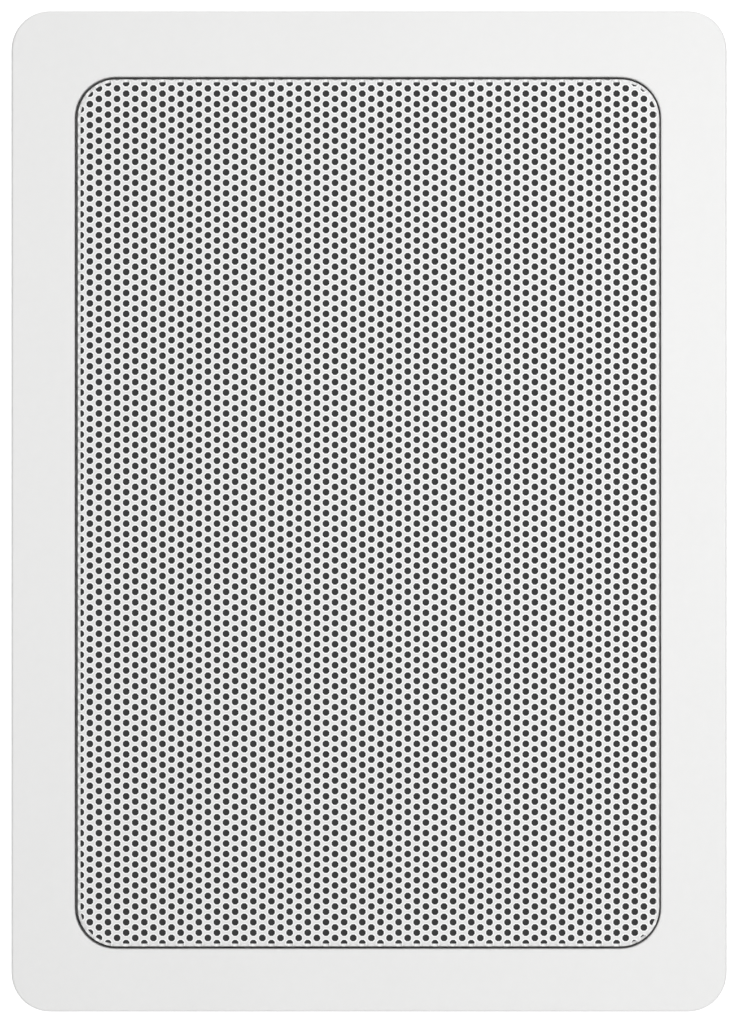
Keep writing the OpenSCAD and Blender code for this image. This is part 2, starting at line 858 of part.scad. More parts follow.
// Round lead along a curve that stays in a plane of nearly constant X
module lead(p, d, rings) {
    sides = 8;
    circle_points = [
        for (i = [0 : rings])
            let (
                t = i / rings,
                forward = along(p, t),
                across = cross(forward, [1, 0, 0]),
                v = across / norm(across),
                u = cross(v, forward)
            )
            for (k = [0 : sides - 1])
                bezier(p, t) + d / 2 * (u * cos(360 * k / sides) + v * sin(360 * k / sides))
    ];
    walls = [
        for (i = [0 : rings - 1], k = [0 : sides - 1])
            let (a = i * sides + k, b = i * sides + (k + 1) % sides)
                [a, b, b + sides, a + sides]
    ];
    polyhedron(
        points = circle_points,
        faces = concat(
            [[for (k = [sides - 1 : -1 : 0]) k]],
            walls,
            [[for (k = [0 : sides - 1]) rings * sides + k]]
        )
    );
}

// Braids from the tags through the basket's windows to the back of the cone
module braided_leads() {
    foot_r = whizzer_r + braid_d;
    foot_y = cone_face_y(foot_r) + paper_t + braid_d / 2 + fit;
    from_z = driver_up - tag_at_r + braid_d / 2 + fit;
    color("silver") for (s = [-1, 1]) lead([
        [s * tag_x, tab_y + 3 * braid_d, from_z],
        [s * tag_x, tab_y + 4 * braid_d, from_z + braid_slack],
        [s * tag_x, foot_y + braid_slack / 2, driver_up - foot_r - 1.2 * braid_slack],
        [s * tag_x, foot_y, driver_up - foot_r]
    ], braid_d, 24);
}

// Insulated leads from the transformer's upper lugs to the driver's tags
module driver_leads() {
    lug_tip_z = transformer_up + bobbin_half_z + lug_l;
    tag_z = driver_up - tag_at_r - tag_t - lead_d / 2 - fit;
    color("firebrick") for (s = [-1, 1]) lead([
        [s * lug_pitch, lug_y, lug_tip_z + fit],
        [s * lug_pitch, lug_y, tag_z],
        [s * tag_x, tag_y[1] + 4 * lead_d, tag_z],
        [s * tag_x, tag_y[1] - lead_d, tag_z]
    ], lead_d, 20);
}

// Insulated leads from the transformer's lower lugs to the terminal block
module tap_leads() {
    lug_tip_z = transformer_up - bobbin_half_z - lug_l;
    block_top_z = block_up + insert_l / 2;
    color("darkblue") for (k = [0 : ways - 1]) lead([
        [tap_x[k], lug_y, lug_tip_z - fit],
        [tap_x[k], lug_y, lug_tip_z - 6 * lead_d],
        [way_x[k], channel_mid_y, block_top_z + 7 * lead_d],
        [way_x[k], channel_mid_y, block_top_z - lead_d]
    ], lead_d, 24);
}

// Stack of E and I laminations
module transformer_core() {
    color("dimgray") difference() {
        translate([-core_w / 2, core_y, transformer_up - stack_t / 2])
            cube([core_w, core_h, stack_t]);
        for (s = [-1, 1])
            translate([s * 1.5 * limb_w, core_y + core_h / 2, transformer_up])
                cube([limb_w, window_gap, stack_t + 2], center = true);
    }
}

// Moulded bobbin on the middle limb, with a ledge on each side for the lugs
module transformer_bobbin() {
    hole_w = 2 * (limb_w + fit);
    hole_t = stack_t + 2 * fit;
    ledge_w = (ways - 1) * lug_pitch + 5;
    color("ivory") translate([0, bobbin_y, transformer_up]) difference() {
        union() {
            translate([0, bobbin_h / 2, 0])
                cube([hole_w + 2 * bobbin_wall, bobbin_h, hole_t + 2 * bobbin_wall], center = true);
            for (y = [bobbin_flange_t / 2, bobbin_h - bobbin_flange_t / 2])
                translate([0, y, 0])
                    cube([2 * bobbin_half_x, bobbin_flange_t, 2 * bobbin_half_z], center = true);
            for (s = [-1, 1])
                translate([
                    0,
                    bobbin_h - lug_ledge / 2,
                    s * (bobbin_half_z + (lug_ledge - weld) / 2)
                ])
                    cube([ledge_w, lug_ledge, lug_ledge + weld], center = true);
        }
        translate([0, bobbin_h / 2, 0]) cube([hole_w, bobbin_h + 2, hole_t], center = true);
    }
}

// Taped winding round the bobbin
module transformer_winding() {
    in_x = limb_w + bobbin_wall + 2 * fit;
    in_z = stack_t / 2 + bobbin_wall + 2 * fit;
    height = bobbin_h - 2 * bobbin_flange_t - 2 * fit;
    color("goldenrod")
        slab(bobbin_y + bobbin_flange_t + fit, bobbin_y + bobbin_flange_t + fit + height)
            translate([0, transformer_up]) difference() {
                rounded_rectangle(2 * (in_x + winding_t), 2 * (in_z + winding_t), 3);
                square([2 * in_x, 2 * in_z], center = true);
            }
}

// Flat solder lugs in the bobbin's ledges: one for each tap below, two for the driver above
module transformer_lugs() {
    lug_from = bobbin_half_z + lug_ledge;
    module lug(x, side) {
        translate([x, lug_y, transformer_up + side * (lug_from + (lug_l - lug_ledge) / 2)])
            cube([lug_w, lug_t, lug_l - lug_ledge], center = true);
    }
    color("silver") {
        for (x = tap_x) lug(x, -1);
        for (s = [-1, 1]) lug(s * lug_pitch, 1);
    }
}

// Steel strap over the core, with an ear at each foot
module transformer_strap() {
    side_x = core_w / 2;
    ear_end_x = ear_x + 4.5;
    color("silver") difference() {
        translate([0, 0, transformer_up]) union() {
            translate([-side_x - strap_t, core_y + core_h, -strap_w / 2])
                cube([core_w + 2 * strap_t, strap_t, strap_w]);
            for (s = [-1, 1]) {
                translate([s * (side_x + strap_t / 2), post_y + (core_h + 2 * strap_t) / 2, 0])
                    cube([strap_t, core_h + 2 * strap_t, strap_w], center = true);
                translate([s * (side_x + ear_end_x) / 2, post_y + strap_t / 2, 0])
                    cube([ear_end_x - side_x, strap_t, strap_w], center = true);
            }
        }
        for (p = transformer_places)
            translate([p[0], post_y - 1, p[1]])
                into_wall() cylinder(h = strap_t + 2, d = screw_d + 1);
    }
}

module transformer_screws() {
    color("gainsboro") screws_at(transformer_places, post_y + strap_t);
}

// Moulded strip of screw terminals, with a channel and two towers for each way
module terminal_block() {
    color("gainsboro") translate([0, 0, block_up]) difference() {
        union() {
            slab(post_y, post_y + block_base_h) rounded_rectangle(2 * block_end_x, block_l - 4, 2);
            for (x = way_x) {
                translate([x - way_w / 2, post_y, -block_l / 2])
                    cube([way_w, block_base_h + channel_a, block_l]);
                for (s = [-1, 1])
                    translate([x, post_y + weld, s * tower_z])
                        into_wall() cylinder(h = tower_h - weld, r = tower_r);
            }
        }
        for (x = way_x) {
            translate([x, channel_mid_y, 0])
                cube([channel_a + 2 * fit, channel_a + 2 * fit, block_l + 2], center = true);
            for (s = [-1, 1])
                translate([x, channel_mid_y, s * tower_z])
                    into_wall() cylinder(h = tower_h, r = clamp_head_r + 0.2);
        }
        for (s = [-1, 1])
            translate([s * block_post_x, post_y - 1, 0])
                into_wall() cylinder(h = block_base_h + 2, d = screw_d + 0.8);
    }
}

// Square brass sleeves in the block's channels
module terminal_inserts() {
    inner = channel_a - 2 * insert_wall;
    color("gold") for (x = way_x) translate([x, channel_mid_y, block_up]) difference() {
        cube([channel_a, channel_a, insert_l], center = true);
        cube([inner, inner, insert_l + 2], center = true);
        for (s = [-1, 1])
            translate([0, 0, s * tower_z]) into_wall() cylinder(h = channel_a, r = clamp_screw_r + fit);
    }
}

// Slotted clamping screws, two for each way
module terminal_screws() {
    seat_at = channel_mid_y + channel_a / 2 + 1.2;
    reach = insert_wall + 1.2 + 0.6;
    color("silver") for (x = way_x, s = [-1, 1])
        translate([x, seat_at, block_up + s * tower_z]) into_wall() difference() {
            union() {
                cylinder(h = clamp_head_h, r = clamp_head_r);
                translate([0, 0, -reach]) cylinder(h = reach + weld, r = clamp_screw_r);
            }
            translate([-clamp_head_r - 1, -0.4, clamp_head_h / 2])
                cube([2 * clamp_head_r + 2, 0.8, clamp_head_h]);
        }
}

module terminal_block_screws() {
    color("gainsboro") for (p = block_places)
        translate([p[0], post_y + block_base_h, p[1]])
            into_wall() pan_screw(screw_l + block_base_h - basket_t);
}

front_frame();
grille();
grille_fleece();
rim_gasket();
basket();
driver_screws();
surround();
cone();
whizzer_cone();
dust_cap();
voice_coil_former();
voice_coil();
spider();
top_plate();
magnet();
yoke();
tag_strip();
solder_tags();
tag_rivets();
braided_leads();
driver_leads();
transformer_core();
transformer_bobbin();
transformer_winding();
transformer_lugs();
transformer_strap();
transformer_screws();
tap_leads();
terminal_block();
terminal_inserts();
terminal_screws();
terminal_block_screws();
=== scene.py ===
"""Looks of a flush-mounted public address wall speaker, laid out as a Blender add-on.

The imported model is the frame: X is to the right, Z is up and Y runs into the wall, whose
plane is y = 0. The listener stands on the -Y side. Lengths are in metres.
"""

import math

import bmesh
import bpy
import numpy as np
from bpy.props import FloatProperty, FloatVectorProperty, IntProperty, PointerProperty
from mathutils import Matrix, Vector
from mathutils.geometry import delaunay_2d_cdt


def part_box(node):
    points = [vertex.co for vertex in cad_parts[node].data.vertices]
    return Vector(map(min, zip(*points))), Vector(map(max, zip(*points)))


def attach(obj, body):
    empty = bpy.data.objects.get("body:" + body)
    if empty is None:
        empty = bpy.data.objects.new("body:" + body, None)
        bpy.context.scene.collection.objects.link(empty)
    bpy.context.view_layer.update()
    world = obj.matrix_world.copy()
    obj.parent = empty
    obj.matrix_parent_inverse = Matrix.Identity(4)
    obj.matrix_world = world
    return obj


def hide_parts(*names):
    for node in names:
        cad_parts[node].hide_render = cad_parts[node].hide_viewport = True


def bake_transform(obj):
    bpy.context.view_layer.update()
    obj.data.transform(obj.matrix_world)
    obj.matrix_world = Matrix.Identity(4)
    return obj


bl_info = {
    "name": "Wall speaker looks",
    "version": (1, 0, 0),
    "blender": (4, 5, 0),
    "location": "View3D > Sidebar > Wall speaker",
    "description": "Perforated grille, finishes and studio for a flush-mounted wall speaker",
    "category": "Add Mesh",
}

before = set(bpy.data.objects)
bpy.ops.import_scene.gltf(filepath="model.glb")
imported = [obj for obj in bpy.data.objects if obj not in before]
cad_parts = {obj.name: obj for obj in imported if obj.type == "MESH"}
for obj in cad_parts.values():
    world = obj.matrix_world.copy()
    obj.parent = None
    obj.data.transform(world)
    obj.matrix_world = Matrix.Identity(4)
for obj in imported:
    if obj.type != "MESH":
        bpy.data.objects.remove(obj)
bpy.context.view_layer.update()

MM = 0.001
SIN60 = math.sin(math.radians(60))
PICTURE_HEIGHT = 1024  # pixels

# Bodies of the frame
FIXED = "speaker"
MOVING = "moving_cone"

# Beads of solder and glue: half width and half height, in widths of their lead
LEAD_BEAD = 0.62, 0.9
BRAID_BEAD = 1.1, 1.2
GLUE_DOT = 2.0, 0.7

# Corners of the nodes that new pieces take their places from
GRILLE_LOW, GRILLE_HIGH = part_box("grille")
FLEECE_LOW, FLEECE_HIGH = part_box("grille_fleece")
FACE_LOW, FACE_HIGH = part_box("front_frame")


# Meshes

def new_mesh_object(name, vertices, polygons, uv=None, sharp_above=50):
    """Puts vertices and polygons into a mesh object; uv is one pair for each vertex."""
    mesh = bpy.data.meshes.new(name)
    mesh.from_pydata(np.asarray(vertices).tolist(), [], np.asarray(polygons).tolist())
    edit = bmesh.new()
    edit.from_mesh(mesh)
    bmesh.ops.recalc_face_normals(edit, faces=edit.faces)
    edit.to_mesh(mesh)
    edit.free()
    mesh.polygons.foreach_set("use_smooth", np.ones(len(mesh.polygons), bool))
    mesh.set_sharp_from_angle(angle=math.radians(sharp_above))
    if uv is not None:
        corner = np.empty(len(mesh.loops), np.int32)
        mesh.loops.foreach_get("vertex_index", corner)
        layer = mesh.uv_layers.new(name="surface")
        layer.data.foreach_set("uv", np.asarray(uv, np.float32)[corner].ravel())
    mesh.update()
    obj = bpy.data.objects.new(name, mesh)
    bpy.context.scene.collection.objects.link(obj)
    return obj


# Grille

def distance_outside(points, half, corner):
    """Signed distance of points to a rectangle with round corners, positive outside it.

    With q the distances past the corners' centres, it is |max(q, 0)| + min(max(q), 0) - corner.
    """
    past = np.abs(points) - (half - corner)
    outside = np.linalg.norm(np.maximum(past, 0), axis=1)
    return outside + np.minimum(past.max(axis=1), 0) - corner


def foot_and_normal(points, half, corner):
    """Nearest points on such a rectangle for points outside it, and the normals there.

    Both come from the corner's centre: the normal is the unit vector from it, the foot lies
    one corner radius along that vector.
    """
    centre = np.clip(points, -(half - corner), half - corner)
    away = points - centre
    normal = away / np.linalg.norm(away, axis=1, keepdims=True)
    return centre + corner * normal, normal


def rounded_loop(half, corner, offset, steps):
    """Points round a rectangle with round corners, grown by an offset.

    Each corner is an arc of radius corner + offset about its centre.
    """
    turn = np.radians(np.linspace(0, 90, steps + 1))
    quarter = np.arange(4)[:, None]
    angle = turn[None, :] + np.pi / 2 * quarter
    sign_x = np.where((quarter == 0) | (quarter == 3), 1, -1)
    sign_z = np.where(quarter < 2, 1, -1)
    x = sign_x * (half[0] - corner) + (corner + offset) * np.cos(angle)
    z = sign_z * (half[1] - corner) + (corner + offset) * np.sin(angle)
    return np.stack([x, z], -1).reshape(-1, 2)


def capped(rings, first, last):
    """Closed form over equal rings of points, with a point in the middle of either end."""
    rows, columns = rings.shape[:2]
    k = np.arange(columns)
    after = (k + 1) % columns
    base = np.arange(rows - 1)[:, None] * columns
    a, b = (base + k).ravel(), (base + after).ravel()
    far = (rows - 1) * columns
    ends = rows * columns
    triangles = np.concatenate([
        np.stack([a, b, b + columns], -1), np.stack([a, b + columns, a + columns], -1),
        np.stack([after, k, np.full(columns, ends)], -1),
        np.stack([far + k, far + after, np.full(columns, ends + 1)], -1),
    ])
    return np.concatenate([rings.reshape(-1, 3), [first, last]]), triangles


def closed_chains(chains, links):
    """Edges of equal closed chains of points that follow each other."""
    first = np.arange(chains)[:, None] * links
    k = np.arange(links)[None, :]
    return np.stack([first + k, first + (k + 1) % links], -1).reshape(-1, 2)


class Blank:
    """Flat blank of the grille: a face, and a border that is to be folded back.

    The neutral line of the bend has the radius bend - thickness / 2, so the fold takes a
    quarter turn of that radius from the border.
    """

    def __init__(self, sizes):
        outer = 0.5 * np.array([GRILLE_HIGH.x - GRILLE_LOW.x, GRILLE_HIGH.z - GRILLE_LOW.z])
        self.bend = sizes.bend_radius
        self.thickness = sizes.sheet_thickness
        self.half = outer - self.bend
        self.corner = sizes.grille_corner - self.bend
        self.fold = (self.bend - self.thickness / 2) * math.pi / 2
        self.reach = self.fold + (GRILLE_HIGH.y - GRILLE_LOW.y) - self.bend
        self.shift = np.array([sizes.grille_right, sizes.grille_up])

    def folded(self, points, inside):
        """Places of flat points on the folded sheet's outer or inner skin.

        Over the fold a point goes round the bend by its distance along the neutral line,
        past it straight back.
        """
        radius = self.bend - (self.thickness if inside else 0)
        distance = distance_outside(points, self.half, self.corner)
        past = distance > 1e-9
        angle = np.clip(distance / self.fold, 0, 1) * np.pi / 2
        back = self.bend - radius * np.cos(angle) + np.maximum(distance - self.fold, 0)
        plane = points.copy()
        foot, normal = foot_and_normal(points[past], self.half, self.corner)
        plane[past] = foot + (radius * np.sin(angle[past]))[:, None] * normal
        plane += self.shift
        return np.stack([plane[:, 0], GRILLE_LOW.y + back, plane[:, 1]], -1)


def hole_centres(column, row, sizes):
    """Centres of a staggered pattern: upright columns a pitch times sin 60 apart, every
    other one raised by half a pitch."""
    x = column * sizes.hole_pitch * SIN60 + sizes.pattern_right
    z = (row + 0.5 * (column % 2)) * sizes.hole_pitch + sizes.pattern_up
    return np.stack([x, z], -1)


def kept_holes(sizes, blank):
    """Columns and rows of the holes whose centres lie on the face or near it on the fold."""
    step = sizes.hole_pitch * np.array([SIN60, 1])
    most = np.ceil((blank.half + blank.reach) / step).astype(int)
    column, row = np.meshgrid(
        np.arange(-most[0], most[0] + 1), np.arange(-most[1], most[1] + 1), indexing="ij"
    )
    column, row = column.ravel(), row.ravel()
    distance = distance_outside(hole_centres(column, row, sizes), blank.half, blank.corner)
    kept = distance < blank.fold + sizes.holes_past_fold
    return column[kept], row[kept]


def hole_reach(sizes):
    """Radius to the corners of a polygon of n sides with a round hole's area:
    R = r sqrt(2 pi / (n sin(2 pi / n)))."""
    turn = 2 * math.pi / sizes.hole_sides
    return sizes.hole_width / 2 * math.sqrt(turn / math.sin(turn))


def in_holes(points, sizes, column, row):
    """Whether points lie in one of the given holes.

    The nearest column and row come by rounding, and a point is inside a hole of flat sides
    if it passes none of the sides' lines.
    """
    near_column = np.round((points[:, 0] - sizes.pattern_right) / (sizes.hole_pitch * SIN60))
    lift = 0.5 * (near_column % 2)
    near_row = np.round((points[:, 1] - sizes.pattern_up) / sizes.hole_pitch - lift)
    normal = np.radians(360 / sizes.hole_sides) * np.arange(sizes.hole_sides)
    offset = points - hole_centres(near_column, near_row, sizes)
    reach = (offset @ np.stack([np.cos(normal), np.sin(normal)])).max(axis=1)
    apothem = hole_reach(sizes) * math.cos(math.pi / sizes.hole_sides)
    most_rows = 10000
    near, kept = near_column * most_rows + near_row, column * most_rows + row
    return (reach < apothem) & np.isin(near, kept)


def grille_mesh(sizes):
    """Perforated tray: the blank is triangulated flat round its holes, then folded.

    The outer and the inner skin are the same triangles at two depths, and each border edge,
    round a hole or round the blank, is joined to its twin by a wall.
    """
    blank = Blank(sizes)
    column, row = kept_holes(sizes, blank)
    side = np.radians(360 / sizes.hole_sides) * (np.arange(sizes.hole_sides) + 0.5)
    ring = hole_reach(sizes) * np.stack([np.cos(side), np.sin(side)], -1)
    holes = (hole_centres(column, row, sizes)[:, None, :] + ring[None]).reshape(-1, 2)
    offsets = np.append(np.linspace(0, blank.fold, sizes.fold_steps + 1), blank.reach)
    loops = np.concatenate([
        rounded_loop(blank.half, blank.corner, offset, sizes.corner_steps) for offset in offsets
    ])
    loop_edges = closed_chains(len(offsets), 4 * (sizes.corner_steps + 1)) + len(holes)
    edges = np.concatenate([closed_chains(len(column), sizes.hole_sides), loop_edges])
    points = np.concatenate([holes, loops]) / MM
    tolerance = 1e-5  # millimetres
    flat, _, triangles, *_ = delaunay_2d_cdt(points.tolist(), edges.tolist(), [], 0, tolerance)
    flat = np.array([tuple(v) for v in flat]) * MM
    triangles = np.array(triangles)
    triangles = triangles[~in_holes(flat[triangles].mean(axis=1), sizes, column, row)]

    twin = len(flat)
    directed = np.concatenate([triangles[:, [0, 1]], triangles[:, [1, 2]], triangles[:, [2, 0]]])
    forward = directed[:, 0] * twin + directed[:, 1]
    backward = directed[:, 1] * twin + directed[:, 0]
    start, end = directed[~np.isin(forward, backward)].T
    walls = np.concatenate([
        np.stack([end, start, start + twin], -1), np.stack([end, start + twin, end + twin], -1)
    ])
    vertices = np.concatenate([blank.folded(flat, False), blank.folded(flat, True)])
    polygons = np.concatenate([triangles, triangles[:, ::-1] + twin, walls])
    phase = (flat - (sizes.pattern_right, sizes.pattern_up)) / sizes.hole_pitch
    phase = np.concatenate([phase, phase]) / (2 * SIN60, 1)
    used, places = np.unique(polygons, return_inverse=True)
    return vertices[used], places.reshape(-1, 3), phase[used]


def fleece_mesh(sizes, steps=3):
    """Felt that fills the tray: a slab whose front edge follows the inside of the bend.

    Its loops lie r - r cos(a) behind the sheet and r sin(a) outside the face, with r the
    bend's inner radius and a from 0 to a quarter turn, and the last one at the felt's back.
    """
    blank = Blank(sizes)
    inner = sizes.bend_radius - sizes.sheet_thickness
    turn = np.linspace(0, np.pi / 2, steps + 1)
    outward = np.append(inner * np.sin(turn), inner)
    depth = np.append(inner * (1 - np.cos(turn)), FLEECE_HIGH.y - FLEECE_LOW.y)
    rings = [
        np.insert(rounded_loop(blank.half, blank.corner, offset, sizes.corner_steps), 1, 0, axis=1)
        + (blank.shift[0], FLEECE_LOW.y + back, blank.shift[1])
        for offset, back in zip(outward, depth)
    ]
    middle = [np.array([blank.shift[0], y, blank.shift[1]]) for y in (FLEECE_LOW.y, FLEECE_HIGH.y)]
    return capped(np.array(rings), *middle)


# Materials

class Nodes:
    """Node tree with short ways to add nodes to it."""

    def __init__(self, tree):
        self.tree = tree

    def feed(self, socket, value):
        """Links a socket to an output, or sets it to a plain value."""
        if isinstance(value, bpy.types.NodeSocket):
            self.tree.links.new(value, socket)
        else:
            socket.default_value = value

    def set(self, node, **values):
        """Feeds a node's inputs by their names, with _ for blanks."""
        for name, value in values.items():
            self.feed(node.inputs[name.replace("_", " ")], value)
        return node

    def add(self, kind, **values):
        """New node of a kind, with inputs fed by name."""
        return self.set(self.tree.nodes.new("ShaderNode" + kind), **values)

    def math(self, operation, *values):
        """Output of a math node on outputs or numbers."""
        node = self.add("Math")
        node.operation = operation
        for socket, value in zip(node.inputs, values):
            self.feed(socket, value)
        return node.outputs[0]

    def hypot(self, across, up):
        """Square root of the sum of two squares."""
        squares = [self.math("MULTIPLY", side, side) for side in (across, up)]
        return self.math("SQRT", self.math("ADD", *squares))

    def ramp(self, value, low, high, start, end):
        """Value mapped smoothly from low..high to start..end."""
        node = self.add("MapRange")
        node.interpolation_type = "SMOOTHSTEP"
        self.set(node, Value=value, From_Min=low, From_Max=high, To_Min=start, To_Max=end)
        return node.outputs[0]

    def ridges(self, value, pitch):
        """Wave from 0 to 1 along a length, one crest a pitch."""
        turns = self.math("MULTIPLY", value, 2 * math.pi / pitch)
        return self.ramp(self.math("SINE", turns), -1.0, 1.0, 0.0, 1.0)

    def parts(self, vector):
        """The coordinates of a vector, each an output."""
        return list(self.add("SeparateXYZ", Vector=vector).outputs)


class Surface(Nodes):
    """Procedural material around one Principled shader, with its detail in object space."""

    def __init__(self, name, roughness, metallic=0.0, **sockets):
        self.material = bpy.data.materials.new(name)
        self.material.use_nodes = True
        super().__init__(self.material.node_tree)
        self.shader = self.tree.nodes["Principled BSDF"]
        self.set(self.shader, Roughness=roughness, Metallic=metallic, **sockets)
        self.place = self.add("TexCoord").outputs["Object"]
        self.bumps = None

    def own_map(self):
        """The two coordinates of the piece's own map."""
        node = self.add("UVMap")
        node.uv_map = "surface"
        return self.parts(node.outputs[0])[:2]

    def noise(self, size, stretch=(1, 1, 1), detail=2.0, rough=0.5):
        """Noise from 0 to 1 whose patches are about one size wide, drawn out along an axis."""
        place = self.add("Mapping", Vector=self.place, Scale=[1 / s for s in stretch]).outputs[0]
        node = self.add("TexNoise", Vector=place, Scale=0.5 / size, Detail=detail, Roughness=rough)
        return node.outputs[0]

    def fibres(self, size, stretch, rough):
        """Fibres that cross: the greater of two noises, drawn out along X and along Z."""
        lay = self.noise(size, (stretch, 1, 1), 4.0, rough)
        return self.math("MAXIMUM", lay, self.noise(size, (1, 1, stretch), 4.0, rough))

    def colour(self, first, second, share):
        """Base colour mixed from two by a share from 0 to 1."""
        node = self.add("Mix")
        node.data_type = "RGBA"
        self.feed(node.inputs[0], share)
        node.inputs[6].default_value = (*first, 1)
        node.inputs[7].default_value = (*second, 1)
        self.set(self.shader, Base_Color=node.outputs[2])

    def tones(self, colour, dark, light, share):
        """Base colour between two shades of one colour, by a share from 0 to 1."""
        self.colour(shade(colour, dark), shade(colour, light), share)

    def rough(self, value, start, end):
        """Roughness from start to end with a noise's value."""
        self.set(self.shader, Roughness=self.ramp(value, 0.3, 0.7, start, end))

    def bump(self, height, depth):
        """Relief of a given depth in metres, laid over any earlier one."""
        node = self.add("Bump", Height=height, Distance=depth)
        if self.bumps:
            self.set(node, Normal=self.bumps)
        self.bumps = node.outputs[0]
        self.set(self.shader, Normal=self.bumps)
        return self


def shade(colour, factor):
    """A colour made darker or lighter by a factor."""
    return tuple(min(channel * factor, 1.0) for channel in colour)


def dress(surface, *nodes):
    """Gives a surface's material to nodes of the frame."""
    for node in nodes:
        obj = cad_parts[node]
        if not obj.material_slots:
            obj.data.materials.append(surface.material)
        for slot in obj.material_slots:
            slot.material = surface.material


def add_piece(obj, surface, body, slot, *nodes):
    """Dresses a new piece, lets it ride on a body and stand for nodes of the frame."""
    obj.data.materials.append(surface.material)
    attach(obj, body)
    if nodes:
        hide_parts(*nodes)


def moulded(name, colour, roughness=0.42):
    """Injection-moulded plastic: a fine spark-eroded grain and faint flow marks."""
    surface = Surface(name, roughness, IOR=1.5)
    marks = surface.noise(18 * MM, (1, 1, 2.5), 3.0)
    flow = surface.math("ADD", marks, surface.noise(1.1 * MM, detail=3.0))
    surface.tones(colour, 0.965, 1.02, surface.math("MULTIPLY", flow, 0.5))
    surface.rough(surface.noise(0.8 * MM), roughness - 0.04, roughness + 0.05)
    return surface.bump(surface.noise(0.25 * MM, detail=3.0), 0.006 * MM)


def powder_coat_with_painted_highlight(name, web, ring, sizes):
    """Powder coat on a perforated sheet, with a painted highlight: a paler ring round the holes'
    edges.

    The map's coordinates are u = x / (2 pitch sin 60) and v = z / pitch from a hole's centre,
    so both sets of columns are whole or half numbers and a pixel's distance to the nearest
    centre, in pitches, is the smaller of two: hypot(2 sin 60 du, dv) with du and dv to the
    nearest whole number, and the same to the nearest half.
    """
    surface = Surface(name, 0.46, IOR=1.5)
    axes = surface.own_map()
    reach = []
    for half in (0.5, 0.0):
        du, dv = (
            surface.math("SUBTRACT", surface.math("FRACT", surface.math("ADD", axis, half)), 0.5)
            for axis in axes
        )
        reach.append(surface.hypot(surface.math("MULTIPLY", du, 2 * SIN60), dv))
    edge = sizes.hole_width / 2 / sizes.hole_pitch
    # fall is 1 at a hole's edge and 0 on the web; it sets the painted highlight ring and also a
    # real relief of the rolled edge
    fall = surface.ramp(surface.math("MINIMUM", *reach), edge + 0.03, edge + 0.16, 1.0, 0.0)
    patches = surface.noise(0.35 * MM, detail=3.0)
    # Painted highlight: the web's colour turns to the paler ring colour near each hole
    surface.colour(web, ring, fall)
    surface.rough(patches, 0.4, 0.52)
    surface.bump(fall, 0.03 * MM)
    return surface.bump(patches, 0.005 * MM)


def fleece_cloth(name, colour):
    """Needled felt: crossing fibres that catch a little light."""
    surface = Surface(name, 0.95, Sheen_Weight=0.15, Sheen_Roughness=0.6)
    fibres = surface.fibres(0.12 * MM, 6, 0.7)
    surface.tones(colour, 0.6, 1.5, fibres)
    return surface.bump(fibres, 0.15 * MM)


def driver_radius(surface, axis):
    """Distance of a point from the driver's axis, as an output."""
    x, _, z = surface.parts(surface.place)
    return surface.hypot(x, surface.math("SUBTRACT", z, axis.z))


def pressed_paper(name, colour, axis):
    """Paper pulp: matted fibres, with faint rings left by the forming tool."""
    surface = Surface(name, 0.85, Sheen_Weight=0.1)
    fibres = surface.fibres(0.3 * MM, 5, 0.65)
    surface.tones(colour, 0.7, 1.4, fibres)
    surface.bump(fibres, 0.08 * MM)
    return surface.bump(surface.ridges(driver_radius(surface, axis), 1.3 * MM), 0.05 * MM)


def rubber(name, colour):
    """Soft rubber with a dusty bloom."""
    surface = Surface(name, 0.6, Specular_IOR_Level=0.4)
    bloom = surface.noise(6 * MM, detail=4.0, rough=0.6)
    surface.tones(colour, 1.0, 1.8, bloom)
    surface.rough(bloom, 0.5, 0.68)
    return surface.bump(surface.noise(0.15 * MM), 0.01 * MM)


def plated_steel(name, colour, roughness=0.32):
    """Pressed steel with zinc plating: soft clouds in tone and gloss, fine drawing lines."""
    surface = Surface(name, roughness, 1.0)
    surface.tones(colour, 0.93, 1.04, surface.noise(7 * MM, detail=4.0, rough=0.6))
    surface.rough(surface.noise(1.5 * MM, detail=3.0), roughness - 0.03, roughness + 0.08)
    return surface.bump(surface.noise(0.2 * MM, (1, 1, 8), 3.0), 0.006 * MM)


def turned_steel(name, colour, axis, roughness=0.3):
    """Plate faced on a lathe: fine rings about the driver's axis."""
    surface = Surface(name, roughness, 1.0, Anisotropic=0.4)
    clouds = surface.noise(9 * MM, detail=3.0)
    surface.tones(colour, 0.85, 1.05, clouds)
    surface.rough(clouds, roughness - 0.05, roughness + 0.1)
    return surface.bump(surface.ridges(driver_radius(surface, axis), 0.22 * MM), 0.004 * MM)


def ferrite(name, colour):
    """Sintered ferrite: dark, pitted and a little dusty."""
    surface = Surface(name, 0.62)
    pits = surface.noise(0.5 * MM, detail=5.0, rough=0.7)
    surface.tones(colour, 1.0, 1.7, surface.noise(9 * MM, detail=4.0))
    surface.rough(pits, 0.5, 0.75)
    return surface.bump(pits, 0.05 * MM)


def wound_copper(name, colour):
    """Enamelled wire wound on the former, one turn beside the other, with painted shade in the
    grooves between the turns.
    """
    surface = Surface(name, 0.3, 1.0, Coat_Weight=0.4, Coat_Roughness=0.15)
    turns = surface.ridges(surface.parts(surface.place)[1], 0.2 * MM)
    # Painted shade: the colour darkens where the relief is low, between the turns
    surface.tones(colour, 0.45, 1.0, turns)
    return surface.bump(turns, 0.06 * MM)


def film(name, colour):
    """Amber film of the former."""
    surface = Surface(name, 0.28, Coat_Weight=0.3)
    streaks = surface.noise(1.5 * MM, (1, 5, 1), 3.0)
    surface.tones(colour, 0.85, 1.15, streaks)
    return surface.bump(streaks, 0.01 * MM)


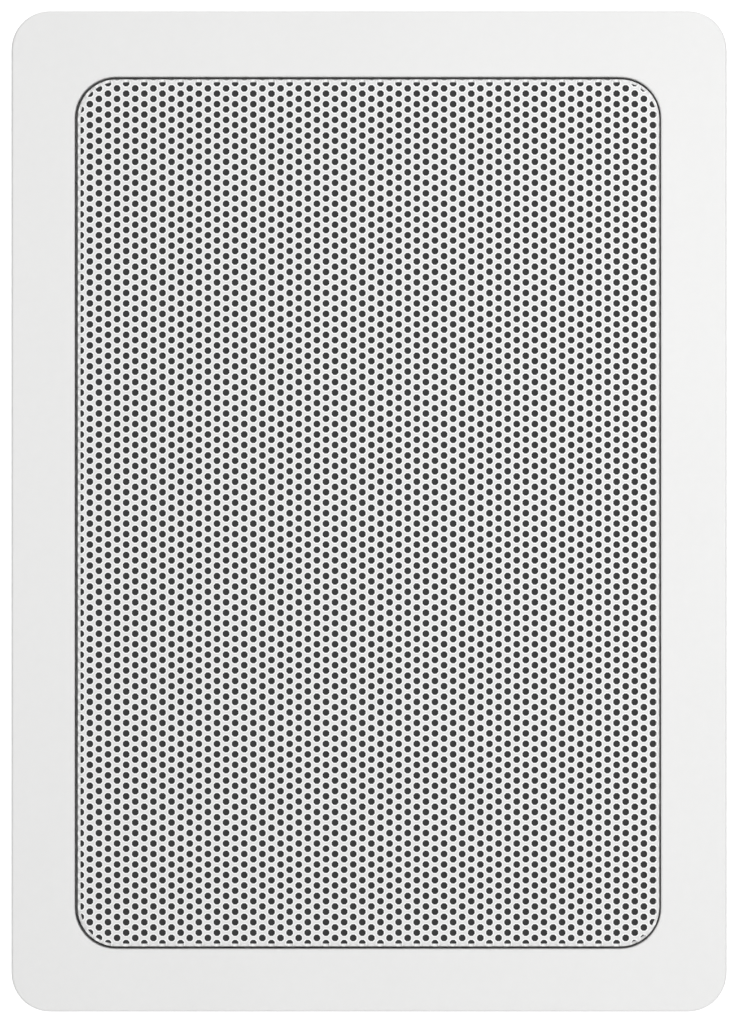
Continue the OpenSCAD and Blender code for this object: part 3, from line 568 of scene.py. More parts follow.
def spider_weave(name, colour):
    """Open cotton weave set with resin: threads that cross every 0.6 mm, with painted shade between
    them.
    """
    surface = Surface(name, 0.75, Sheen_Weight=0.2)
    x, _, z = surface.parts(surface.place)
    threads = surface.math("MAXIMUM", *(surface.ridges(axis, 0.6 * MM) for axis in (x, z)))
    resin = surface.ramp(surface.noise(5 * MM, detail=4.0), 0.3, 0.7, 0.7, 1.0)
    # Painted shade between the threads, over the resin's real tone
    surface.tones(colour, 0.4, 1.15, surface.math("MULTIPLY", threads, resin))
    return surface.bump(threads, 0.12 * MM)


def laminate(name, colour):
    """Brown hard paper: pressed layers with a slight gloss."""
    surface = Surface(name, 0.42)
    layers = surface.noise(0.4 * MM, (12, 1, 1), 4.0, 0.6)
    surface.tones(colour, 0.75, 1.2, layers)
    return surface.bump(layers, 0.01 * MM)


def soft_metal(name, colour, roughness=0.3):
    """Tin, brass or rivet metal with handling marks."""
    surface = Surface(name, roughness, 1.0)
    marks = surface.noise(0.9 * MM, detail=5.0, rough=0.65)
    surface.tones(colour, 0.8, 1.05, marks)
    surface.rough(marks, roughness - 0.08, roughness + 0.15)
    return surface.bump(marks, 0.01 * MM)


def sleeve(name, colour):
    """Extruded wire insulation, slightly waxy."""
    surface = Surface(name, 0.38, Subsurface_Weight=0.05)
    streaks = surface.noise(0.8 * MM, (1, 6, 6), 3.0)
    surface.tones(colour, 0.8, 1.15, streaks)
    return surface.bump(streaks, 0.01 * MM)


def rolled_sheet(name, colour, rust):
    """Edges and faces of varnished transformer sheet, with a little rust in the gaps."""
    surface = Surface(name, 0.42, 0.85)
    stains = surface.noise(3 * MM, detail=5.0, rough=0.65)
    surface.colour(colour, rust, surface.ramp(stains, 0.55, 0.8, 0.0, 0.6))
    surface.rough(stains, 0.35, 0.6)
    return surface.bump(surface.noise(0.3 * MM, detail=3.0), 0.01 * MM)


def crepe_tape(name, colour):
    """Yellow transformer tape: glossy film that shows the wire's turns as faint ridges."""
    surface = Surface(name, 0.3, Coat_Weight=0.3, Coat_Roughness=0.2)
    _, along = surface.own_map()
    surface.tones(colour, 0.8, 1.1, surface.noise(6 * MM, detail=3.0))
    return surface.bump(surface.ridges(along, 0.6 * MM), 0.03 * MM)


def braid_metal(name, colour):
    """Tinned copper braid: two sets of strands that cross on the tube's map, where u runs
    round it once and v is the length along it; the gaps between strands are darkened as painted
    shade."""
    surface = Surface(name, 0.33, 1.0)
    u, v = surface.own_map()
    around = surface.math("MULTIPLY", u, 6.0)
    along = surface.math("DIVIDE", v, 1.1 * MM)
    right, left = (
        surface.ridges(surface.math(lean, around, along), 1.0) for lean in ("ADD", "SUBTRACT")
    )
    strands = surface.math("MAXIMUM", right, left)
    # Painted shade: darker in the gaps between the strands
    surface.tones(colour, 0.35, 1.0, strands)
    return surface.bump(strands, 0.08 * MM)


# Revolved and swept meshes

def driver_axis():
    """Middle of the magnet's box, which lies on the driver's axis."""
    low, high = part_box("magnet")
    return (low + high) / 2


def ring_quads(rows, columns):
    """Quads of a grid of points whose rows and columns close on themselves."""
    index = np.arange(rows * columns).reshape(rows, columns)
    upper = np.roll(index, -1, axis=0)
    quads = index, np.roll(index, -1, axis=1), np.roll(upper, -1, axis=1), upper
    return np.stack(quads, -1).reshape(-1, 4)


def revolved(name, profile, axis, segments=144):
    """Closed profile of (radius, y) points turned about the driver's axis:
    x = r cos a, z = axis + r sin a."""
    angle = np.linspace(0, 2 * np.pi, segments, endpoint=False)
    radius, depth = profile[:, 0, None], profile[:, 1, None]
    x = radius * np.cos(angle)
    z = axis.z + radius * np.sin(angle)
    vertices = np.stack([x, np.broadcast_to(depth, x.shape), z], -1).reshape(-1, 3)
    return new_mesh_object(name, vertices, ring_quads(len(profile), segments))


def add_flexing_disc(name, front, back, cuts, surface, slot):
    """Disc between cone and frame, cut into ring strips at its crests.

    front and back are lines of (radius, y) from the inside out. Along one strip the depth
    only rises or only falls. The first and the last strip are flat and ride on one body each;
    the strips between are left in place without a body.
    """
    last = len(cuts) - 2
    for k in range(last + 1):
        part = slice(cuts[k], cuts[k + 1] + 1)
        profile = np.concatenate([front[part], back[part][::-1]])
        obj = revolved(f"{name}_{k}", profile, driver_axis())
        obj.data.materials.append(surface.material)
        if k in (0, last):
            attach(obj, FIXED if k else MOVING)
        else:
            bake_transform(obj)
        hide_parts(name)


def roll_lines(sizes, steps=24):
    """Front and back line of the surround: a half circle between two flat lips.

    Round its centre c the front is c + R (-cos a, -sin a) and the back the same with a
    smaller R, for a from 0 to pi; the front starts and ends at the lips' front. The cuts lie
    at the lips' ends and on the crest.
    """
    low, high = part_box("surround")
    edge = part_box("cone")[1].x
    roll = high.y - low.y
    angle = np.linspace(0, np.pi, steps + 1)
    start = math.asin(sizes.rubber / roll)
    front_angle = np.linspace(start, np.pi - start, steps + 1)
    lines = []
    for radius, a, lift in ((roll, front_angle, sizes.rubber), (roll - sizes.rubber, angle, 0)):
        arc = np.stack([edge + roll - radius * np.cos(a), high.y - radius * np.sin(a)], -1)
        lips = np.array([[edge - sizes.glue_width, high.y - lift], [high.x, high.y - lift]])
        lines.append(np.concatenate([lips[:1], arc, lips[1:]]))
    return *lines, (0, 1, 1 + steps // 2, 1 + steps, 2 + steps)


def spider_lines(sizes, wave_steps=12):
    """Front and back line of the spider: y = flat + wave sin(2 pi waves s) between flat rims."""
    low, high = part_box("spider")
    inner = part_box("voice_coil_former")[1].x
    flat = low.y + sizes.spider_wave
    thickness = high.y - low.y - 2 * sizes.spider_wave
    steps = wave_steps * sizes.spider_waves
    share = np.linspace(0, 1, steps + 1)
    start, end = inner + sizes.spider_collar, high.x - sizes.spider_rim
    wave = flat + sizes.spider_wave * np.sin(2 * np.pi * sizes.spider_waves * share)
    glue = 0.05 * MM
    radius = np.concatenate([[inner + glue], start + (end - start) * share, [high.x]])
    front = np.stack([radius, np.concatenate([[flat], wave, [flat]])], -1)
    crests = [1 + wave_steps * (2 * k + 1) // 4 for k in range(2 * sizes.spider_waves)]
    return front, front + (0, thickness), (0, 1, *crests, steps + 1, steps + 2)


def bezier(control, points=48):
    """Points (1-t)^3 a + 3 t (1-t)^2 b + 3 t^2 (1-t) c + t^3 d of a smooth curve."""
    t = np.linspace(0, 1, points)[:, None]
    a, b, c, d = np.asarray(control, float)
    return (1 - t) ** 3 * a + 3 * t * (1 - t) ** 2 * b + 3 * t ** 2 * (1 - t) * c + t ** 3 * d


def tube_mesh(path, width, sides=14):
    """Round tube along a path that stays near a plane of constant X: each ring lies on
    v = tangent x X and u = v x tangent. Its map has u round it and v the length along it."""
    tangent = np.gradient(path, axis=0)
    tangent /= np.linalg.norm(tangent, axis=1, keepdims=True)
    v = np.cross(tangent, [1, 0, 0])
    v /= np.linalg.norm(v, axis=1, keepdims=True)
    u = np.cross(v, tangent)
    angle = np.linspace(0, 2 * np.pi, sides + 1)[None, :, None]
    points = path[:, None] + width / 2 * (u[:, None] * np.cos(angle) + v[:, None] * np.sin(angle))
    run = np.append(0, np.cumsum(np.linalg.norm(np.diff(path, axis=0), axis=1)))
    place = np.stack(np.broadcast_arrays(angle[..., 0] / (2 * np.pi), run[:, None]), -1)
    index = np.arange(points.shape[0] * points.shape[1]).reshape(points.shape[:2])
    quads = np.stack([index[:-1, :-1], index[:-1, 1:], index[1:, 1:], index[1:, :-1]], -1)
    return points.reshape(-1, 3), quads.reshape(-1, 4), place.reshape(-1, 2)


def drop_mesh(place, radius, height, direction):
    """Bead of solder or glue: an ellipsoid, drawn out along one direction and fuller at its
    foot, with the radius R sin(t) (1 + 0.25 cos(t)) at the height -H cos(t), for t from 0 to pi."""
    direction = Vector(direction).normalized()
    axis, side = np.array(direction), np.array(direction.orthogonal().normalized())
    t = np.linspace(0, np.pi, 11)[1:-1, None, None]
    angle = np.linspace(0, 2 * np.pi, 19)[None, :-1, None]
    ring = side * np.cos(angle) + np.cross(axis, side) * np.sin(angle)
    place = np.array(place)
    rings = place + radius * np.sin(t) * (1 + 0.25 * np.cos(t)) * ring - height * np.cos(t) * axis
    points, triangles = capped(rings, place - height * axis, place + height * axis)
    return points, triangles, np.zeros((len(points), 2))


def drops(paths, end, width, shape, direction):
    """Beads at one end of each path; shape is their half width and half height in widths."""
    return [drop_mesh(path[end], shape[0] * width, shape[1] * width, direction) for path in paths]


def together(meshes):
    """Several like meshes as one: their vertices, polygons and maps in a row."""
    first = np.cumsum([0] + [len(m[0]) for m in meshes[:-1]])
    return (
        np.concatenate([m[0] for m in meshes]),
        np.concatenate([m[1] + start for m, start in zip(meshes, first)]),
        np.concatenate([m[2] for m in meshes]),
    )


def lead_paths(sizes):
    """Control points of the leads, in pairs or fours: braids, driver leads and tap leads."""
    tags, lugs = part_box("solder_tags"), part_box("transformer_lugs")
    braids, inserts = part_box("braided_leads"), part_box("terminal_inserts")
    tag_end = tags[1].y
    foot_y = braids[0].y + sizes.braid_width / 2
    foot_z = braids[1].z
    lug_y = (lugs[0].y + lugs[1].y) / 2
    from_z = tags[1].z + 0.6 * sizes.braid_width
    slack, width = sizes.braid_slack, sizes.lead_width
    air, overlap = 0.1 * MM, 0.4 * MM
    under = tags[0].z - width / 2 - air
    channel = (inserts[0].y + inserts[1].y) / 2
    braid, driver, taps = [], [], []
    for side in (-1, 1):
        x, lug_x = side * sizes.tag_right, side * sizes.lug_pitch
        braid.append([(x, tag_end - 3 * MM, from_z), (x, tag_end - 2 * MM, from_z + slack),
                      (x, foot_y + slack / 2, foot_z - 1.2 * slack), (x, foot_y, foot_z)])
        driver.append([(lug_x, lug_y, lugs[1].z - overlap), (lug_x, lug_y, under),
                       (x, tag_end + 4 * width, under), (x, tag_end - width, under)])
    for k in range(sizes.ways):
        step = k - (sizes.ways - 1) / 2
        lug_x, way_x = step * sizes.lug_pitch, step * sizes.way_pitch
        taps.append([(lug_x, lug_y, lugs[0].z + overlap), (lug_x, lug_y, lugs[0].z - 6 * width),
                     (way_x, channel, inserts[1].z + 7 * width),
                     (way_x, channel, inserts[1].z - width)])
    return braid, driver, taps


def solid_boxes(low, high):
    """Corners and faces of many boxes, given by two arrays of opposite corners."""
    pick = np.array([[0, 0, 0], [1, 0, 0], [1, 1, 0], [0, 1, 0],
                     [0, 0, 1], [1, 0, 1], [1, 1, 1], [0, 1, 1]], bool)
    corners = np.where(pick[None], high[:, None], low[:, None])
    faces = np.array([[0, 3, 2, 1], [4, 5, 6, 7], [0, 1, 5, 4],
                      [1, 2, 6, 5], [2, 3, 7, 6], [3, 0, 4, 7]])
    faces = faces[None] + len(pick) * np.arange(len(low))[:, None, None]
    return corners.reshape(-1, 3), faces.reshape(-1, 4)


def lamination_mesh(sizes):
    """Stack of E and I sheets, each turned over against the last. A sheet is five boxes: the
    I's bar, the E's yoke and its three limbs, with a fine joint between E and I."""
    low, high = (np.array(corner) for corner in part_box("transformer_core"))
    limb = (high[0] - low[0]) / 6
    total = round((high[2] - low[2]) / sizes.sheet_pitch)
    k = np.arange(total)
    z0 = low[2] + k * (high[2] - low[2]) / total
    z1 = z0 + (high[2] - low[2]) / total - sizes.sheet_gap
    turned = k % 2 == 1
    limbs = low[1] + limb, high[1] - limb
    joint = sizes.sheet_gap
    bar = np.where(turned, low[1], limbs[1] + joint), np.where(turned, limbs[0] - joint, high[1])
    yoke = np.where(turned, limbs[1], low[1]), np.where(turned, high[1], limbs[0])
    spans = [(0, 6, bar), (0, 6, yoke), (0, 1, limbs), (2, 4, limbs), (5, 6, limbs)]
    corners = [
        np.concatenate([
            np.stack(np.broadcast_arrays(low[0] + span[end] * limb, span[2][end], z), -1)
            for span in spans
        ])
        for end, z in ((0, z0), (1, z1))
    ]
    return solid_boxes(*corners)


def winding_mesh(sizes, skew=0.15):
    """Band of tape round the bobbin: a rounded rectangle in X and Z whose outline steps up
    where the tape laps, on a skew, and bulges between the cheeks as 1 - v^4, v from -1 to 1."""
    low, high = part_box("transformer_winding")
    centre = np.array([low.x + high.x, low.z + high.z]) / 2
    half = np.array([high.x - low.x, high.z - low.z]) / 2
    bulge, lap = sizes.tape_bulge, sizes.tape_lap
    loop = rounded_loop(half - bulge - lap, sizes.tape_corner, 0, 10)
    around = len(loop)
    normal = np.roll(loop, -1, axis=0) - np.roll(loop, 1, axis=0)
    normal = np.stack([normal[:, 1], -normal[:, 0]], -1)
    normal /= np.linalg.norm(normal, axis=1, keepdims=True)
    v = np.linspace(-1, 1, 15)[:, None]
    turn = sizes.tape_laps * np.arange(around) / around
    offset = bulge * (1 - v ** 4) + lap * ((turn + skew * v) % 1)
    plane = centre + loop + offset[..., None] * normal
    y = np.broadcast_to((low.y + high.y) / 2 + v * (high.y - low.y) / 2, offset.shape)
    outer = np.stack([plane[..., 0], y, plane[..., 1]], -1)
    inner_plane = centre + loop * (1 - sizes.winding_depth / half)
    inner = np.stack(np.broadcast_arrays(inner_plane[:, 0], y[[-1, 0]], inner_plane[:, 1]), -1)
    points = np.concatenate([outer, inner])
    run = np.cumsum(np.linalg.norm(np.roll(loop, -1, axis=0) - loop, axis=1))
    place = np.stack(np.broadcast_arrays(run[None], points[..., 1]), -1)
    return points.reshape(-1, 3), ring_quads(len(points), around), place.reshape(-1, 2)


# Settings

def length(name, description, millimetres, least=0.0):
    """A length setting, given in millimetres and kept in metres."""
    return FloatProperty(name=name, description=description, default=millimetres * MM,
                         min=least * MM, precision=5, unit="LENGTH")


def number(name, description, default, **options):
    """A setting with a plain number."""
    return FloatProperty(name=name, description=description, default=default, **options)


def count(name, description, default, low=1, high=64):
    """A whole number setting."""
    return IntProperty(name=name, description=description, default=default, min=low, max=high)


def tint(name, description, *default):
    """A colour setting."""
    return FloatVectorProperty(name=name, description=description, default=default,
                               subtype="COLOR", size=3, min=0, max=1)


class GrilleSettings(bpy.types.PropertyGroup):
    """Sizes of the perforated grille."""

    hole_pitch: length("Hole pitch", "Distance between the holes of a column", 2.735, 1.0)
    hole_width: length("Hole width", "Diameter of a hole", 1.8, 0.2)
    hole_sides: count("Hole sides", "Flat sides that stand for a hole's round", 8, 6, 16)
    holes_past_fold: length("Holes past the fold", "From the bend to the last centres", 0.35, -5.0)
    sheet_thickness: length("Sheet thickness", "Thickness of the coated sheet", 0.7, 0.1)
    bend_radius: length("Bend radius", "Outer radius of the bent edge", 1.0, 0.2)
    grille_corner: length("Corner radius", "Radius of the grille's corners", 10.05, 2.0)
    pattern_right: length("Pattern right", "A hole's centre from the grille's middle", 0.735, -5.0)
    pattern_up: length("Pattern up", "That centre's height over the grille's middle", 1.301, -5.0)
    grille_right: length("Grille right", "The grille's middle from the window's", 0.17, -1.0)
    grille_up: length("Grille up", "The grille's middle over the window's", 0.0, -1.0)
    fold_steps: count("Bend steps", "Flat strips that stand for the bend's round", 4, 2, 12)
    corner_steps: count("Corner steps", "Straight steps round a corner", 14, 4, 40)


class SuspensionSettings(bpy.types.PropertyGroup):
    """Sizes of the surround and the spider."""

    rubber: length("Rubber", "Thickness of the surround", 0.5)
    glue_width: length("Glue width", "Width of the surround's lip on the cone", 2.5)
    spider_wave: length("Wave height", "Height of the spider's waves over its middle", 0.9)
    spider_waves: count("Waves", "Number of the spider's waves", 4, 2, 8)
    spider_collar: length("Collar", "Width of the spider's flat collar at the coil", 1.5)
    spider_rim: length("Rim", "Width of the spider's flat rim", 5.0)


class LeadSettings(bpy.types.PropertyGroup):
    """Sizes and places of the leads."""

    braid_width: length("Braid width", "Diameter of the leads to the cone", 1.0)
    braid_slack: length("Braid slack", "Length over which a braid runs on from its ends", 10.0)
    lead_width: length("Lead width", "Diameter of the insulated leads", 1.6)
    tag_right: length("Tag place", "Distance of a driver's tag from the middle", 7.0)
    lug_pitch: length("Lug pitch", "Distance between the transformer's lugs", 6.0)
    way_pitch: length("Way pitch", "Distance between the terminals", 10.0)
    ways: count("Ways", "Number of terminals", 4, 2, 6)


class TransformerSettings(bpy.types.PropertyGroup):
    """Sizes of the transformer's sheets and tape."""

    sheet_pitch: length("Sheet pitch", "Thickness of a lamination with its varnish", 0.5, 0.1)
    sheet_gap: length("Sheet gap", "Dark gap between two laminations", 0.05)
    tape_corner: length("Tape corner", "Radius of the winding's corners", 3.0)
    tape_bulge: length("Tape bulge", "How far the winding bulges between its cheeks", 0.12)
    tape_lap: length("Tape lap", "Step where the tape laps", 0.1)
    tape_laps: count("Tape laps", "Steps round the winding", 3, 1, 12)
    winding_depth: length("Winding depth", "Thickness of the winding round the bobbin", 5.0)


class ColourSettings(bpy.types.PropertyGroup):
    """Colours of the speaker's materials."""

    frame_white: tint("Frame", "Moulded front frame", 0.83, 0.83, 0.825)
    grille_white: tint("Grille", "Powder coat on the grille's webs", 0.77, 0.77, 0.768)
    # Paler colour of the painted highlight ring round the holes
    grille_painted_highlight: tint("Grille edges", "Painted highlight round the holes", 0.97, 0.97, 0.967)
    fleece: tint("Fleece", "Felt behind the grille", 0.033, 0.033, 0.034)
    rubber: tint("Rubber", "Surround", 0.014, 0.014, 0.015)
    cone: tint("Cone", "Paper of the cone", 0.03, 0.029, 0.028)
    whizzer: tint("Whizzer", "Paper of the small cone", 0.21, 0.2, 0.185)
    card: tint("Card", "Gasket on the driver's flange", 0.1, 0.085, 0.07)
    zinc: tint("Zinc", "Plated steel of basket and strap", 0.62, 0.63, 0.64)
    ferrite: tint("Ferrite", "Magnet", 0.035, 0.035, 0.038)
    spider: tint("Spider", "Resin-set cloth", 0.42, 0.2, 0.06)
    former: tint("Former", "Film that carries the voice coil", 0.5, 0.22, 0.05)
    glue: tint("Glue", "Dots that hold the braids on the cone", 0.05, 0.035, 0.02)
    hard_paper: tint("Hard paper", "Tag strip", 0.19, 0.075, 0.03)
    tin: tint("Tin", "Tags, lugs and braids", 0.66, 0.65, 0.63)
    copper: tint("Copper", "Voice coil", 0.75, 0.28, 0.12)
    red_sleeve: tint("Driver leads", "Insulation of the leads to the driver", 0.42, 0.02, 0.015)
    blue_sleeve: tint("Tap leads", "Insulation of the leads to the terminals", 0.02, 0.05, 0.26)
    core: tint("Core", "Varnished laminations", 0.09, 0.092, 0.1)
    rust: tint("Rust", "Stains on the laminations", 0.16, 0.085, 0.05)
    tape: tint("Tape", "Tape round the winding", 0.62, 0.42, 0.05)
    bobbin: tint("Bobbin", "Moulded bobbin", 0.5, 0.47, 0.4)
    block: tint("Terminal block", "Moulded terminal strip", 0.52, 0.52, 0.5)
    brass: tint("Brass", "Inserts of the terminals", 0.72, 0.5, 0.18)


class StudioSettings(bpy.types.PropertyGroup):
    """Camera and light."""

    camera_distance: length("Camera distance", "From the speaker's face to the camera", 1500, 300)
    pixel: length("Width of a pixel", "Length on the face that a pixel covers", 0.2608, 0.01)
    pixels_right: number("Pixels right", "The window's middle from the picture's", -0.6)
    pixels_up: number("Pixels up", "The window's middle over the picture's", -0.9)
    sky_level: number("Sky level", "Strength of the light in front, behind and above", 1.17, min=0)
    side_level: number("Side level", "Share of that light that comes from the sides", 0.1,
                       min=0, max=1)
    key_place: FloatVectorProperty(
        name="Key place", description="Place of the soft light in front, to the right",
        default=(0.35, -0.5, 0.12), subtype="XYZ", unit="LENGTH")
    key_size: length("Key size", "Side of that light", 300, 10)
    key_power: number("Key power", "Power of that light", 0.95, min=0, unit="POWER")
    floor_drop: length("Floor drop", "Height of the speaker's lower edge over the floor", 120)
    floor_size: length("Floor size", "Side of the floor", 1200, 200)


# Operators

class WALLSPEAKER_OT_add_grille(bpy.types.Operator):
    """Folds the perforated grille and lays the felt into it"""

    bl_idname = "wallspeaker.add_grille"
    bl_label = "Add grille"

    def execute(self, context):
        sizes = context.scene.wallspeaker_grille
        colours = context.scene.wallspeaker_colours
        vertices, polygons, phase = grille_mesh(sizes)
        sheet = new_mesh_object("grille_sheet", vertices, polygons, phase)
        # The grille's coat paints a highlight ring round each hole
        coat = powder_coat_with_painted_highlight("grille_coat", colours.grille_white, colours.grille_painted_highlight, sizes)
        add_piece(sheet, coat, FIXED, "grille_coat", "grille")
        points, triangles = fleece_mesh(sizes)
        felt = new_mesh_object("felt", points, triangles, sharp_above=60)
        cloth = fleece_cloth("fleece_felt", colours.fleece)
        add_piece(felt, cloth, FIXED, "fleece", "grille_fleece")
        return {"FINISHED"}


class WALLSPEAKER_OT_finish_frame(bpy.types.Operator):
    """Gives the front frame its satin moulded surface"""

    bl_idname = "wallspeaker.finish_frame"
    bl_label = "Finish frame"

    def execute(self, context):
        colours = context.scene.wallspeaker_colours
        dress(moulded("frame_plastic", colours.frame_white), "front_frame")
        return {"FINISHED"}


class WALLSPEAKER_OT_add_suspension(bpy.types.Operator):
    """Turns the rubber surround and the corrugated spider, whose inner strips ride on the cone's
    body
    """

    bl_idname = "wallspeaker.add_suspension"
    bl_label = "Add suspension"

    def execute(self, context):
        sizes = context.scene.wallspeaker_suspension
        colours = context.scene.wallspeaker_colours
        skin = rubber("surround_rubber", colours.rubber)
        add_flexing_disc("surround", *roll_lines(sizes), skin, "surround_rubber")
        weave = spider_weave("spider_cloth", colours.spider)
        add_flexing_disc("spider", *spider_lines(sizes), weave, "spider_cloth")
        return {"FINISHED"}


class WALLSPEAKER_OT_finish_driver(bpy.types.Operator):
    """Gives the driver's basket, cones, coil, magnet and plates their surfaces"""

    bl_idname = "wallspeaker.finish_driver"
    bl_label = "Finish driver"

    def execute(self, context):
        colours = context.scene.wallspeaker_colours
        axis = driver_axis()
        dress(plated_steel("basket_zinc", colours.zinc), "basket")
        dress(pressed_paper("gasket_card", colours.card, axis), "rim_gasket")
        dress(pressed_paper("cone_paper", colours.cone, axis), "cone", "dust_cap")
        dress(pressed_paper("whizzer_paper", colours.whizzer, axis), "whizzer_cone")
        dress(film("former_film", colours.former), "voice_coil_former")
        dress(wound_copper("coil_copper", colours.copper), "voice_coil")
        dress(turned_steel("plate_steel", shade(colours.zinc, 0.92), axis), "top_plate", "yoke")
        dress(ferrite("magnet_ferrite", colours.ferrite), "magnet")
        dress(laminate("strip_paper", colours.hard_paper), "tag_strip")
        dress(soft_metal("tag_tin", colours.tin), "solder_tags")
        dress(soft_metal("rivet_metal", shade(colours.tin, 0.85), 0.38), "tag_rivets")
        return {"FINISHED"}


class WALLSPEAKER_OT_add_leads(bpy.types.Operator):
    """Lays the braids to the cone and the insulated leads, with their solder and glue"""

    bl_idname = "wallspeaker.add_leads"
    bl_label = "Add leads"

    def execute(self, context):
        sizes = context.scene.wallspeaker_leads
        colours = context.scene.wallspeaker_colours
        braids, drivers, taps = lead_paths(sizes)
        for name, paths, coat, slot in (
            ("driver_leads", drivers, sleeve("red_sleeve", colours.red_sleeve), "red_sleeve"),
            ("tap_leads", taps, sleeve("blue_sleeve", colours.blue_sleeve), "blue_sleeve"),
        ):
            tubes = together([tube_mesh(bezier(path), sizes.lead_width) for path in paths])
            add_piece(new_mesh_object(name + "_sleeves", *tubes), coat, FIXED, slot, name)

        tubes = together([tube_mesh(bezier(path), sizes.braid_width, 12) for path in braids])
        braid = new_mesh_object("braids", *tubes)
        braid.data.materials.append(braid_metal("braid_tin", colours.tin).material)
        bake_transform(braid)
        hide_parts("braided_leads")

        solder = soft_metal("solder", shade(colours.tin, 0.9), 0.22)
        beads = together([
            *drops(drivers, 0, sizes.lead_width, LEAD_BEAD, (0, 0, 1)),
            *drops(taps, 0, sizes.lead_width, LEAD_BEAD, (0, 0, -1)),
            *drops(drivers, 3, sizes.lead_width, LEAD_BEAD, (0, -1, 0)),
            *drops(braids, 0, sizes.braid_width, BRAID_BEAD, (0, 0, 1)),
        ])
        add_piece(new_mesh_object("solder_beads", *beads), solder, FIXED, "tinned_brass")
        cone_side = (0, 1, -0.4)
        feet = together(drops(braids, 3, sizes.braid_width, GLUE_DOT, cone_side))
        glue = moulded("glue", colours.glue, 0.25)
        add_piece(new_mesh_object("glue_dots", *feet), glue, MOVING, "cone_paper")
        return {"FINISHED"}


class WALLSPEAKER_OT_add_transformer(bpy.types.Operator):
    """Stacks the transformer's laminations, winds its tape and finishes bobbin and strap"""

    bl_idname = "wallspeaker.add_transformer"
    bl_label = "Add transformer"

    def execute(self, context):
        sizes = context.scene.wallspeaker_transformer
        colours = context.scene.wallspeaker_colours
        sheets = new_mesh_object("core_sheets", *lamination_mesh(sizes), sharp_above=30)
        steel = rolled_sheet("core_steel", colours.core, colours.rust)
        add_piece(sheets, steel, FIXED, "core_steel", "transformer_core")
        band = new_mesh_object("winding_tape", *winding_mesh(sizes))
        tape = crepe_tape("winding_tape", colours.tape)
        add_piece(band, tape, FIXED, "winding_tape", "transformer_winding")
        dress(moulded("bobbin_plastic", colours.bobbin, 0.5), "transformer_bobbin")
        dress(soft_metal("lug_tin", colours.tin), "transformer_lugs")
        dress(plated_steel("strap_zinc", colours.zinc), "transformer_strap")
        return {"FINISHED"}


class WALLSPEAKER_OT_finish_terminals(bpy.types.Operator):
    """Gives the terminal block, its brass and all the screws their surfaces"""

    bl_idname = "wallspeaker.finish_terminals"
    bl_label = "Finish terminals and screws"

    def execute(self, context):
        colours = context.scene.wallspeaker_colours
        dress(moulded("block_plastic", colours.block, 0.5), "terminal_block")
        dress(soft_metal("insert_brass", colours.brass, 0.28), "terminal_inserts")
        dress(soft_metal("clamp_screw_steel", colours.zinc, 0.3), "terminal_screws")
        dress(plated_steel("screw_zinc", shade(colours.zinc, 0.95), 0.28),
              "driver_screws", "transformer_screws", "terminal_block_screws")
        return {"FINISHED"}


def add_lamp(name, place, size, power):
    """Square soft light that looks at the speaker's middle."""
    data = bpy.data.lights.new(name, "AREA")
    data.size = size
    data.energy = power
    lamp = bpy.data.objects.new(name, data)
    lamp.location = place
    lamp.rotation_euler = (-Vector(place)).to_track_quat("-Z", "Y").to_euler()
    bpy.context.scene.collection.objects.link(lamp)


def add_camera(studio):
    """Camera straight in front; its lens follows from distance and the width of a pixel."""
    data = bpy.data.cameras.new("camera")
    data.sensor_width = 36
    data.lens = data.sensor_width * studio.camera_distance / (PICTURE_HEIGHT * studio.pixel)
    camera = bpy.data.objects.new("camera", data)
    camera.location = (
        -studio.pixels_right * studio.pixel,
        FACE_LOW.y - studio.camera_distance,
        -studio.pixels_up * studio.pixel,
    )
    camera.rotation_euler = (math.pi / 2, 0, 0)
    bpy.context.scene.collection.objects.link(camera)
    bpy.context.scene.camera = camera


def add_sky(level, side_level):
    """Soft white light in front, behind and above, which falls off to the sides.

    With d the direction, the strength is level (side + (1 - side) s(max(|dy|, dz))), where s
    rises smoothly from 0 at 0.5 to 1 at 0.9. The camera itself sees pure white.
    """
    world = bpy.data.worlds.new("sky")
    world.use_nodes = True
    bpy.context.scene.world = world
    sky = Nodes(world.node_tree)
    _, dy, dz = sky.parts(sky.add("TexCoord").outputs["Generated"])
    facing = sky.math("MAXIMUM", sky.math("ABSOLUTE", dy), dz)
    fall = sky.ramp(facing, 0.5, 0.9, side_level * level, level)
    seen = sky.add("LightPath").outputs["Is Camera Ray"]
    strength = sky.math("MAXIMUM", fall, seen)
    sky.set(sky.tree.nodes["Background"], Color=(1, 1, 1, 1), Strength=strength)


def add_floor(studio):
    """Level floor under the speaker, a grid of points at one height."""
    steps = 24
    across = np.linspace(-0.5, 0.5, steps) * studio.floor_size
    x, y = np.meshgrid(across, across, indexing="ij")
    z = np.full_like(x, FACE_LOW.z - studio.floor_drop)
    index = np.arange(steps * steps).reshape(steps, steps)
    quads = np.stack([index[:-1, :-1], index[1:, :-1], index[1:, 1:], index[:-1, 1:]], -1)
    floor = new_mesh_object("floor", np.stack([x, y, z], -1).reshape(-1, 3), quads.reshape(-1, 4))
    paper = Surface("floor_paper", 0.9)
    paper.colour((0.86, 0.86, 0.86), (0.9, 0.9, 0.9), paper.noise(40 * MM, detail=4.0))
    paper.bump(paper.noise(0.5 * MM, detail=3.0), 0.02 * MM)
    floor.data.materials.append(paper.material)


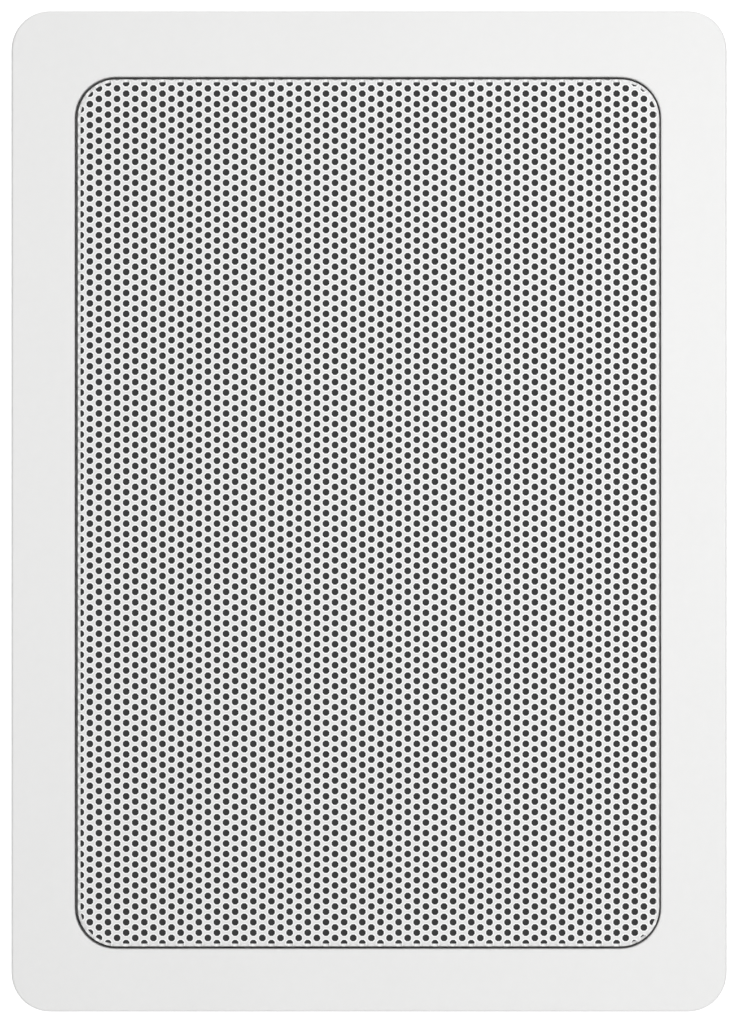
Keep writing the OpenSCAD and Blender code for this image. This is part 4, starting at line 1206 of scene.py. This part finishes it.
class WALLSPEAKER_OT_add_stage(bpy.types.Operator):
    """Sets up the camera, the soft light and a pale floor"""

    bl_idname = "wallspeaker.add_stage"
    bl_label = "Add stage"

    def execute(self, context):
        studio = context.scene.wallspeaker_studio
        add_camera(studio)
        add_sky(studio.sky_level, studio.side_level)
        add_lamp("key_light", studio.key_place, studio.key_size, studio.key_power)
        add_floor(studio)
        context.scene.view_settings.view_transform = "Standard"
        return {"FINISHED"}


class WALLSPEAKER_PT_panel(bpy.types.Panel):
    """Steps and settings of the wall speaker"""

    bl_idname = "WALLSPEAKER_PT_panel"
    bl_label = "Wall speaker"
    bl_space_type = "VIEW_3D"
    bl_region_type = "UI"
    bl_category = "Wall speaker"

    def draw(self, context):
        for operator in OPERATORS:
            self.layout.operator(operator.bl_idname)
        for name in SETTINGS:
            box = self.layout.box()
            settings = getattr(context.scene, name)
            for key in settings.bl_rna.properties.keys():
                if key not in ("rna_type", "name"):
                    box.prop(settings, key)


SETTINGS = {
    "wallspeaker_grille": GrilleSettings,
    "wallspeaker_suspension": SuspensionSettings,
    "wallspeaker_leads": LeadSettings,
    "wallspeaker_transformer": TransformerSettings,
    "wallspeaker_colours": ColourSettings,
    "wallspeaker_studio": StudioSettings,
}
OPERATORS = (
    WALLSPEAKER_OT_add_grille,
    WALLSPEAKER_OT_finish_frame,
    WALLSPEAKER_OT_add_suspension,
    WALLSPEAKER_OT_finish_driver,
    WALLSPEAKER_OT_add_leads,
    WALLSPEAKER_OT_add_transformer,
    WALLSPEAKER_OT_finish_terminals,
    WALLSPEAKER_OT_add_stage,
)


def register():
    for cls in (*SETTINGS.values(), *OPERATORS, WALLSPEAKER_PT_panel):
        bpy.utils.register_class(cls)
    for name, cls in SETTINGS.items():
        setattr(bpy.types.Scene, name, PointerProperty(type=cls))


def unregister():
    for name in SETTINGS:
        delattr(bpy.types.Scene, name)
    for cls in (WALLSPEAKER_PT_panel, *reversed(OPERATORS), *SETTINGS.values()):
        bpy.utils.unregister_class(cls)


def main():
    """Runs every step in turn."""
    register()
    for operator in OPERATORS:
        group, name = operator.bl_idname.split(".")
        getattr(getattr(bpy.ops, group), name)()


if __name__ == "__main__":
    main()
